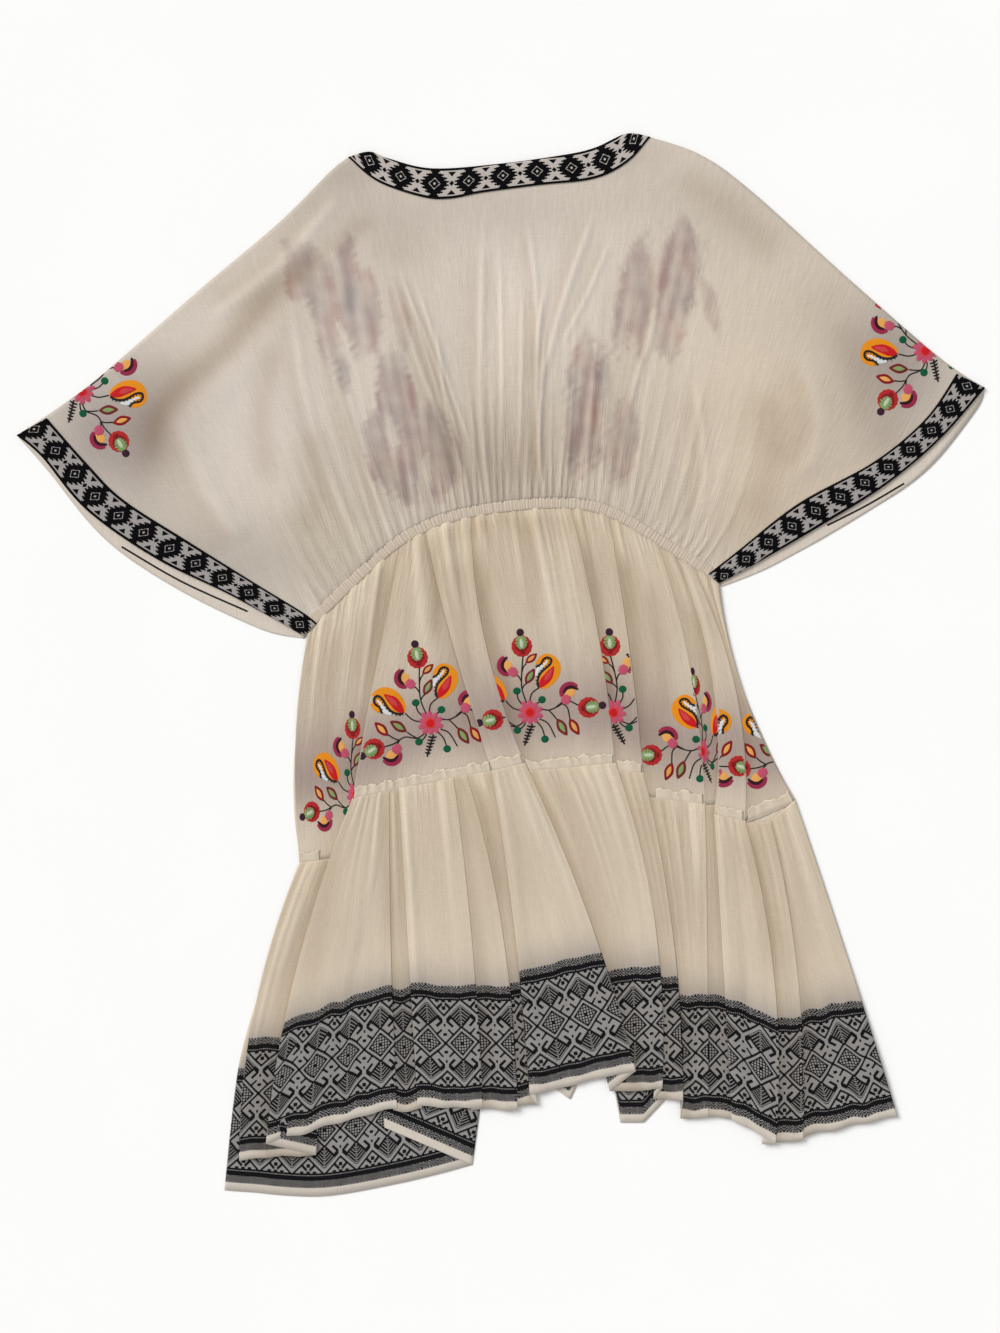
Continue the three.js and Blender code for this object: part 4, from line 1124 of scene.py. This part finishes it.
def lone_bud():
    """The end of a spray that shows on a narrow strip."""
    spray = Spray()
    spray.stroke([(8, 1), (14, 2), (20, 1)], "black")
    round_bud(spray, 0, 0, 190)
    return spray


# Sprays on tier 1, by the strip that carries each, and on the sleeves: flower, turn, mirrored, squeeze across
SKIRT_SPRAYS = table("strip at turn mirror squeeze", [
    (0, (-150, -110), 0, False, 0.75),
    (1, (-80, -49), 8, False, 1.0),
    (3, (10, -44), 4, False, 1.0),
    (4, (85, -48), 0, True, 1.0),
    (5, (170, -86), 0, True, 1.0),
    (6, (163, -87), 4, True, 0.55),
    (7, (141, -89), 0, True, 1.0),
    (8, (250, -92), 0, False, 1.0),
])
LONE_BUDS = table("strip at turn mirror squeeze", [(2, (-23.7, -48.8), 0, False, 1.0)])
SLEEVE_SPRAYS = table("name at turn mirror squeeze", [
    ("embroidery_sleeve_left", (-377, 265), -43, True, 1.0),
    ("embroidery_sleeve_right", (382, 262), 36, False, 1.0),
])
IN_PLACE = SimpleNamespace(at=(0, 0), turn=0, mirror=False, squeeze=1.0)
SPRAY_LINE = [(-170, -92), (-140, -76), (-80, -51), (10, -46), (85, -50), (130, -78), (170, -88), (250, -94)]
SPRAY_SHADE_REACH = (50, 36)
DROP_HEIGHT = 100


def surface_tree(points):
    rows, columns = points.shape[:2]
    return BVHTree.FromPolygons(points.reshape(-1, 3).tolist(), grid_faces(rows, columns))


def laid_on(spray, row, tree, cover):
    """A spray placed on a surface from above, without the parts that fall beside it or lie under a cover."""
    own = np.vstack(spray.points)
    flat = placed(own * (-row.squeeze if row.mirror else row.squeeze, 1), *row.at, row.turn)
    lifts = CLOTH / 2 + np.concatenate(spray.lifts)
    points = np.zeros((len(flat), 3))
    found = np.zeros(len(flat), bool)
    seen = np.zeros(len(flat), bool)
    down = Vector((0, 0, -1))
    for i, (x, y) in enumerate(flat):
        start = Vector((x, y, DROP_HEIGHT))
        hit, normal, _, _ = tree.ray_cast(start, down)
        if hit is not None:
            points[i] = hit + normal * lifts[i] * (1 if normal.z > 0 else -1)
            found[i] = True
            seen[i] = cover.ray_cast(start, down)[0].z - hit.z < SEAM_GAP
    faces = [face[::-1] if row.mirror else face for face in spray.faces
             if all(found[i] for i in face) and any(seen[i] for i in face)]
    used = np.unique(np.array([i for face in faces for i in face], int))
    number = np.zeros(len(flat), int)
    number[used] = np.arange(len(used))
    return SimpleNamespace(points=points[used], faces=[tuple(number[list(face)].tolist()) for face in faces],
                           uv=own[used], tint=np.vstack(spray.colours)[used], crease=np.zeros(len(used)))


# Woven charts: half a repeat by half the height, where 1 is dark


def chart_of(is_dark, columns, rows):
    return np.array([[is_dark(column, row) for column in range(columns)] for row in range(rows)], int)


def border_is_dark(column, row):
    if row < BORDER_FIELD_ROWS:
        return field_is_dark(column, row)
    return band_is_dark(column, row - BORDER_FIELD_ROWS)


def field_is_dark(column, row):
    """Lattice diamonds beside a tree. Diagonals run out and up, and in and up, from the tree."""
    x, y = column + 0.5, row + 0.5
    from_tree = BORDER_HALF_REPEAT - x
    out = y - from_tree
    into = y + from_tree
    if out < 0:
        return lattice_is_dark(column, row, BORDER_HALF_REPEAT + out)
    if out < 24.5:
        return tree_is_dark(column, row, from_tree, y, out, into)
    if out < 32:
        return out >= 28.2
    dot = max(from_tree, abs(y - 38)) < 1.6
    bar = abs(into - 44.5) < 1.8 and out < 42
    crumb = y > 43.5 and min(from_tree, abs(from_tree - 7)) < 1.6
    return dot or bar or crumb


def lattice_is_dark(column, row, ring):
    """Diamond with a checked ground, a square heart and a double outline."""
    if max(column, row) < 2:
        return True
    if ring < 11.2:
        return column % 3 == 1 or row % 3 == 1
    return ring < 13.6 or ring >= 16.4


def tree_is_dark(column, row, from_tree, y, out, into):
    """Pale tree with two dots and two hooks, beside nested chevrons."""
    if into > 36:
        return out % 4 < 2.5 if column > 0 else row % 2 == 0
    if into > 33.0 or out < 1.2:
        return True
    for height, half in ((9.5, 1.6), (19.7, 1.4)):
        if max(from_tree, abs(y - height)) < half:
            return True
    bar = abs(into - 18) < 1.8 and out < 11.5
    slot = abs(into - 26.4) < 1.9 and 8.5 < out < 21.5
    above = out > 18.8 and into > 26.5
    return (bar or slot or above) and from_tree > 1.6


def band_is_dark(column, row):
    """Edge band from the field outwards: a dark stripe, a dotted line, a zigzag hatch and small teeth."""
    zigzag = abs((column + 0.5) % 3.6 - 1.8)
    if row < 8:
        return row != 2 or column % 2 == 0
    if row in (8, 14, 15):
        return zigzag > (1.2 if row == 15 else 0.7)
    return (1.6 * zigzag + row) % 3 < 1.8


def trim_is_dark(column, row):
    """A dark diamond with feathered sides and a pale ring, with triangles and a dot between diamonds."""
    x, y = column + 0.5, row + 0.5
    from_side = TRIM_HALF_REPEAT - x
    if y > 20 or from_side + y < 4.6 or (10.5 < y < 18 and from_side < 0.95 * (y - 10)):
        return True
    ring = x / 10.6 + y / 9
    if 0.87 < ring < 1 or x + y < 2.6:
        return False
    from_tip = abs(y % 5.6 - 2.8) / 2.8
    return x < 25.5 * (1 - (y / 24) ** 1.6) + 1 - 11 * max(0, from_tip - 0.3)


# Materials


class Nodes:
    """Short ways to add shader nodes to one material."""

    def __init__(self, name):
        self.material = bpy.data.materials.new(name)
        self.material.use_nodes = True
        self.tree = self.material.node_tree
        self.shader = self.tree.nodes["Principled BSDF"]

    def add(self, kind, inputs=(), **settings):
        node = self.tree.nodes.new(kind)
        for key, value in settings.items():
            setattr(node, key, value)
        for socket, value in dict(inputs).items():
            self.feed(node.inputs[socket], value)
        return node

    def feed(self, socket, value):
        if isinstance(value, bpy.types.NodeSocket):
            self.tree.links.new(value, socket)
        else:
            socket.default_value = value

    def surface(self, **inputs):
        for name, value in inputs.items():
            self.feed(self.shader.inputs[name.replace("_", " ")], value)

    def math(self, operation, *values):
        return self.add("ShaderNodeMath", enumerate(values), operation=operation).outputs[0]

    def times(self, first, second):
        return self.math("MULTIPLY", first, second)

    def mix(self, share, first, second, blend="MIX"):
        inputs = {0: share, 6: first, 7: second}
        return self.add("ShaderNodeMix", inputs, data_type="RGBA", blend_type=blend).outputs[2]

    def ranged(self, value, low, high, out_low, out_high):
        inputs = {"Value": value, 1: low, 2: high, 3: out_low, 4: out_high}
        return self.add("ShaderNodeMapRange", inputs).outputs[0]

    def uv(self):
        place = self.add("ShaderNodeUVMap", uv_map="cloth").outputs[0]
        return self.add("ShaderNodeSeparateXYZ", {0: place}).outputs[:2]

    def noise(self, across, up, detail):
        place = self.add("ShaderNodeCombineXYZ", {0: across, 1: up}).outputs[0]
        return self.add("ShaderNodeTexNoise", {"Vector": place, "Scale": 1.0, "Detail": detail}).outputs[0]


RAMP_ROWS = 31


def chart_ramp(nodes, rows, half, row, start):
    """Rows of a chart as the steps of a ramp: each half of a row is one number, its cells the bits."""
    ramp = nodes.add("ShaderNodeValToRGB")
    ramp.color_ramp.interpolation = "CONSTANT"
    elements = ramp.color_ramp.elements
    elements.remove(elements[1])
    weights = 2 ** np.arange(half) / (2 ** half - 1)
    for i, cells in enumerate(rows):
        stop = elements[0] if i == 0 else elements.new(i / len(rows))
        stop.position = i / len(rows)
        stop.color = (cells[:half] @ weights, cells[half:2 * half] @ weights, 0, 1)
    nodes.feed(ramp.inputs[0], nodes.math("DIVIDE", nodes.math("SUBTRACT", row, start - 0.5), len(rows)))
    return ramp.outputs[0]


def chart_mask(nodes, chart, across, up):
    """1 where a chart is dark; across and up are in cells, and the chart is mirrored both ways."""
    rows, columns = chart.shape
    half = columns // 2
    column = nodes.math("MINIMUM", nodes.math("FLOOR", nodes.math("PINGPONG", across, columns)), columns - 1)
    row = nodes.math("FLOOR", nodes.math("ABSOLUTE", up))
    in_second = nodes.math("GREATER_THAN", column, half - 0.5)
    packed = None
    for start in range(0, rows, RAMP_ROWS):
        ramp = chart_ramp(nodes, chart[start:start + RAMP_ROWS], half, row, start)
        later = nodes.math("GREATER_THAN", row, start - 0.5)
        packed = ramp if packed is None else nodes.mix(later, packed, ramp)
    halves = nodes.add("ShaderNodeSeparateColor", {0: packed}).outputs
    value = nodes.math("ADD", nodes.times(halves[0], nodes.math("SUBTRACT", 1, in_second)),
                       nodes.times(halves[1], in_second))
    number = nodes.math("FLOOR", nodes.math("ADD", nodes.times(value, 2 ** half - 1), 0.5))
    bit = nodes.math("SUBTRACT", column, nodes.times(in_second, half))
    shifted = nodes.math("DIVIDE", nodes.math("ADD", number, 0.25), nodes.math("POWER", 2, bit))
    inside = nodes.math("LESS_THAN", row, rows - 0.5)
    return nodes.times(nodes.math("MODULO", nodes.math("FLOOR", shifted), 2), inside)


def cloth_finish(nodes, colour, across, up, weave, crinkle, sheen=0.12, roughness=0.92):
    """Base colour times the piece's tint, with slub, weave bump, crinkles with painted shade and light on the
    panels between them and a painted highlight along their pinched lines, and a soft sheen.
    """

    def streaks(per_mm_across, per_mm_up, detail):
        return nodes.noise(nodes.times(across, per_mm_across), nodes.times(up, per_mm_up), detail)

    def threads(along):
        return nodes.math("SINE", nodes.times(along, 2 * math.pi / weave))

    tint = nodes.add("ShaderNodeAttribute", attribute_name="tint").outputs["Color"]
    creased = nodes.add("ShaderNodeAttribute", attribute_name="crease").outputs["Fac"]
    from_line = nodes.math("ABSOLUTE", nodes.math("SUBTRACT", streaks(0.21, 0.013, 2.0), 0.5))
    # Painted shade and light of the crinkles: panels between them shaded, their pinched lines lighter
    pinch = nodes.times(nodes.ranged(from_line, 0.0, 0.045, 1.0, 0.0), creased)
    panel_shade = nodes.times(nodes.ranged(streaks(0.13, 0.010, 1.0), 0.3, 0.7, -0.13, 0.05), creased)
    slub = nodes.math("ADD", streaks(1.1, 0.06, 2.0), streaks(0.06, 1.3, 2.0))
    slub_and_crinkle_shading = nodes.math("ADD", nodes.ranged(slub, 0.7, 1.3, 0.94, 1.05), panel_shade)
    slub_and_crinkle_shading = nodes.math("MULTIPLY_ADD", pinch, 0.07, slub_and_crinkle_shading)
    grey = nodes.add("ShaderNodeCombineColor", {0: slub_and_crinkle_shading, 1: slub_and_crinkle_shading, 2: slub_and_crinkle_shading}).outputs[0]
    tinted = nodes.mix(1.0, colour, tint, "MULTIPLY")
    weave_height = nodes.times(nodes.math("ADD", threads(across), threads(up)), 0.05)
    height = nodes.math("MULTIPLY_ADD", streaks(0.35, 0.05, 2.0), crinkle, weave_height)
    height = nodes.math("MULTIPLY_ADD", pinch, 0.5, height)
    bump = nodes.add("ShaderNodeBump", {"Strength": 0.6, "Distance": MM, "Height": height})
    nodes.surface(Base_Color=nodes.mix(1.0, tinted, grey, "MULTIPLY"), Normal=bump.outputs[0],
                  Roughness=roughness, Sheen_Weight=sheen, Sheen_Roughness=0.5, Specular_IOR_Level=0.10)


def plain_gauze(name, colour):
    nodes = Nodes(name)
    cloth_finish(nodes, (*colour, 1), *nodes.uv(), weave=0.8, crinkle=0.8)
    return nodes.material


def bordered_gauze(name, colour):
    """Gauze with the woven border above a plain hem, and a grey fade over the border."""
    nodes = Nodes(name)
    across, up = nodes.uv()
    chart = chart_of(border_is_dark, BORDER_HALF_REPEAT, BORDER_FIELD_ROWS + BORDER_BAND_ROWS)
    cells_up = nodes.math("DIVIDE", nodes.math("SUBTRACT", up, BORDER_MIDDLE), CELL)
    dark = chart_mask(nodes, chart, nodes.math("DIVIDE", across, CELL), cells_up)
    top = BORDER_MIDDLE * 2 - PLAIN_HEM
    fade = nodes.math("POWER", nodes.ranged(up, top, top + BORDER_FADE, 1.0, 0.0), 2.0)
    faded = tuple(c * t for c, t in zip(colour, FADE_TINT))
    ground = nodes.mix(nodes.times(fade, nodes.math("GREATER_THAN", up, top)), (*colour, 1), (*faded, 1))
    ground = nodes.mix(nodes.math("LESS_THAN", up, PLAIN_HEM), ground, (*HEM_COLOUR, 1))
    in_border = nodes.times(nodes.math("GREATER_THAN", up, PLAIN_HEM), nodes.math("LESS_THAN", up, top))
    ground = nodes.mix(in_border, ground, (*BORDER_IVORY, 1))
    woven = nodes.mix(dark, ground, (*BORDER_DARK, 1))
    cloth_finish(nodes, woven, across, up, weave=0.8, crinkle=0.5, sheen=0.02)
    return nodes.material


def woven_trim(name):
    nodes = Nodes(name)
    across, up = nodes.uv()
    dark = chart_mask(nodes, chart_of(trim_is_dark, TRIM_HALF_REPEAT, TRIM_HALF_ROWS), across, up)
    colour = nodes.mix(dark, (*TRIM_IVORY, 1), (*TRIM_DARK, 1))
    cloth_finish(nodes, colour, across, up, weave=2.3, crinkle=0.3, sheen=0)
    return nodes.material


def satin_thread(name):
    nodes = Nodes(name)
    cloth_finish(nodes, (1, 1, 1, 1), *nodes.uv(), weave=0.9, crinkle=0.2, sheen=0.05, roughness=0.6)
    return nodes.material


# Meshes


def make_piece(name, parts, material):
    """One object from parts that each have points, faces, and values at the points for the material."""
    starts = np.cumsum([0, *[len(part.points) for part in parts]])
    faces = [tuple(int(start) + i for i in face) for start, part in zip(starts, parts) for face in part.faces]
    points, uv, tint, crease = (np.concatenate([getattr(part, key) for part in parts])
                                for key in ("points", "uv", "tint", "crease"))
    mesh = bpy.data.meshes.new(name)
    mesh.from_pydata((points * MM).tolist(), [], faces)
    corner = np.zeros(len(mesh.loops), int)
    mesh.loops.foreach_get("vertex_index", corner)
    mesh.uv_layers.new(name="cloth").uv.foreach_set("vector", uv[corner].astype(np.float32).ravel())
    rgba = np.column_stack([tint, np.ones(len(tint))])
    colours = mesh.color_attributes.new("tint", "FLOAT_COLOR", "POINT")
    colours.data.foreach_set("color", rgba.astype(np.float32).ravel())
    mesh.attributes.new("crease", "FLOAT", "POINT").data.foreach_set("value", crease.astype(np.float32))
    mesh.shade_smooth()
    mesh.materials.append(material)
    piece = bpy.data.objects.new(name, mesh)
    bpy.context.collection.objects.link(piece)
    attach(piece, "root")
    return piece


def cloth_piece(node, sheets, material, suffix="cloth", wall=CLOTH):
    """The cloth that stands for one solid, as a thin shell of one or more grids."""
    parts = []
    for sheet in sheets:
        rows, columns = sheet.points.shape[:2]
        parts.append(SimpleNamespace(
            points=sheet.points.reshape(-1, 3), faces=grid_faces(rows, columns), uv=sheet.uv.reshape(-1, 2),
            tint=sheet.tint.reshape(-1, 3), crease=sheet.crease.ravel()))
    piece = make_piece(f"{node}_{suffix}", parts, material)
    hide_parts(node)
    shell = piece.modifiers.new("wall", "SOLIDIFY")
    shell.thickness = wall * MM
    shell.offset = 0
    return piece


# Dress

bodice_gauze = plain_gauze("bodice_gauze", BODICE_COLOUR)
skirt_gauze = plain_gauze("skirt_gauze", SKIRT_COLOUR)
border_gauze = bordered_gauze("skirt_gauze_border", SKIRT_COLOUR)
trim_weave = woven_trim("woven_trim")
thread = satin_thread("embroidery_thread")

tier_1 = skirt_sheet(TIER_1)
fit_to_waist(tier_1, TIER_1)
tier_2 = skirt_sheet(TIER_2)
hem_waves(tier_2, TIER_2)
finish_tier(tier_1, TIER_1)
finish_tier(tier_2, TIER_2)
grey_under_sprays(tier_1)
bodice_back = bodice_back_sheet()
bodice_front = bodice_front_sheet()
casing_back = casing_sheet(base=2.0, crown=0.55, rib=0.16, tails=CASING_TAILS, seed=61)
casing_front = casing_sheet(base=0.5, crown=0.2, rib=0.05, tails=(0, 0), seed=62)

# Cloth of each solid: its grids, material and slot
CLOTHS = table("node sheets material slot", [
    ("bodice_back", [bodice_back], bodice_gauze, "bodice_gauze"),
    ("bodice_front", [bodice_front], bodice_gauze, "bodice_gauze"),
    ("waist_casing_back", [casing_back], skirt_gauze, "skirt_gauze"),
    ("waist_casing_front", [casing_front], skirt_gauze, "skirt_gauze"),
    ("skirt_tier1_back", [tier_1], skirt_gauze, "skirt_gauze"),
    ("skirt_tier2_back", [tier_2], border_gauze, "skirt_gauze"),
    ("skirt_tier1_front", [front_tier_1_sheet()], skirt_gauze, "skirt_gauze"),
    ("skirt_tier2_front", [front_tier_2_sheet(), hem_flap_sheet()], border_gauze, "skirt_gauze"),
])
pieces = {row.node: cloth_piece(row.node, row.sheets, row.material) for row in CLOTHS}
for i, header in enumerate(HEADERS):
    node = f"tier_header_{i + 1}"
    ruffle = header_sheet(tier_1, header, HEADER_SEED + i)
    pieces[node] = cloth_piece(node, [ruffle], skirt_gauze, "ruffle", HEADER_WALL)
for trim in TRIMS:
    pieces[trim.node] = cloth_piece(trim.node, [trim_sheet(trim)], trim_weave, "band")

spray = full_spray()
tier_1_tree = surface_tree(tier_1.points)
laid = []
for motif, rows in ((spray, SKIRT_SPRAYS), (lone_bud(), LONE_BUDS)):
    for row in rows:
        strip = surface_tree(tier_1.points[:, tier_1.strip == row.strip])
        laid.append(laid_on(motif, row, strip, tier_1_tree))
make_piece("embroidery_skirt", laid, thread)
bodice_tree = surface_tree(bodice_back.points)
for row in SLEEVE_SPRAYS:
    make_piece(row.name, [laid_on(spray, row, bodice_tree, bodice_tree)], thread)
cuff_lines = Spray()
for line in FRONT_CUFF_LINES:
    cuff_lines.stroke(line, "black", CUFF_LINE_WIDTH)
front_tree = surface_tree(bodice_front.points)
front_lines = laid_on(cuff_lines, IN_PLACE, front_tree, front_tree)
make_piece("front_cuff_lines", [front_lines], thread)

# Camera, floor and light


def stage_scene():
    scene = bpy.context.scene
    camera = bpy.data.objects.new("camera", bpy.data.cameras.new("camera"))
    scene.collection.objects.link(camera)
    camera.location = (VIEW_CENTRE[0] * MM, VIEW_CENTRE[1] * MM, CAMERA_HEIGHT * MM)
    camera.rotation_euler = (0, 0, VIEW_TURN)
    camera.data.sensor_fit = "VERTICAL"
    camera.data.angle = 2 * math.atan(PHOTO_HEIGHT * MM_PER_PIXEL / 2 / CAMERA_HEIGHT)
    scene.camera = camera

    floor_mesh = bpy.data.meshes.new("floor")
    half = FLOOR_SIZE * MM / 2
    corners = [(-half, -half, 0), (half, -half, 0), (half, half, 0), (-half, half, 0)]
    floor_mesh.from_pydata(corners, [], [(0, 1, 2, 3)])
    floor = bpy.data.objects.new("floor", floor_mesh)
    paper = Nodes("pale_floor")
    grain = paper.add("ShaderNodeTexNoise", {"Scale": 90.0, "Detail": 3.0}).outputs[0]
    paper.surface(Base_Color=paper.mix(grain, (0.88, 0.88, 0.875, 1), (0.9, 0.9, 0.895, 1)), Roughness=0.95)
    floor_mesh.materials.append(paper.material)
    scene.collection.objects.link(floor)

    key = bpy.data.lights.new("key", "SUN")
    key.energy = 2.5
    key.angle = math.radians(34)
    key.color = (1.0, 0.985, 0.96)
    lamp = bpy.data.objects.new("key", key)
    lamp.rotation_euler = Vector((0.62, -0.50, -0.62)).to_track_quat("-Z", "Y").to_euler()
    scene.collection.objects.link(lamp)

    world = bpy.data.worlds.new("studio")
    world.use_nodes = True
    background = world.node_tree.nodes["Background"]
    background.inputs["Color"].default_value = (0.985, 0.99, 1.0, 1)
    background.inputs["Strength"].default_value = 0.62
    scene.world = world
    scene.view_settings.view_transform = "Standard"


stage_scene()

# Cut of each cloth in metres, how it is held, its area where it isn't a rectangle, and what it rests on
SHEETS = table("node flat held area rests_on", [
    ("bodice_back", (1.00, 0.42), "gathered", 0.235, ["bodice_front_cloth"]),
    ("bodice_front", (0.90, 0.42), "laid", 0.19, []),
    ("waist_casing_back", (0.50, 0.0115), "gathered", None, ["waist_casing_front_cloth"]),
    ("waist_casing_front", (0.42, 0.0105), "gathered", None, []),
    ("skirt_tier1_back", (0.62, 0.23), "gathered", None, ["skirt_tier1_front_cloth"]),
    ("skirt_tier1_front", (0.46, 0.23), "laid", None, []),
    ("skirt_tier2_back", (0.95, 0.30), "gathered", None, ["skirt_tier2_front_cloth"]),
    ("skirt_tier2_front", (0.60, 0.30), "laid", None, []),
    ("neck_trim_back", (0.30, 0.025), "laid", None, ["bodice_back_cloth"]),
    ("cuff_trim_left", (0.33, 0.025), "laid", None, ["bodice_back_cloth"]),
    ("cuff_trim_right", (0.31, 0.025), "laid", None, ["bodice_back_cloth"]),
])
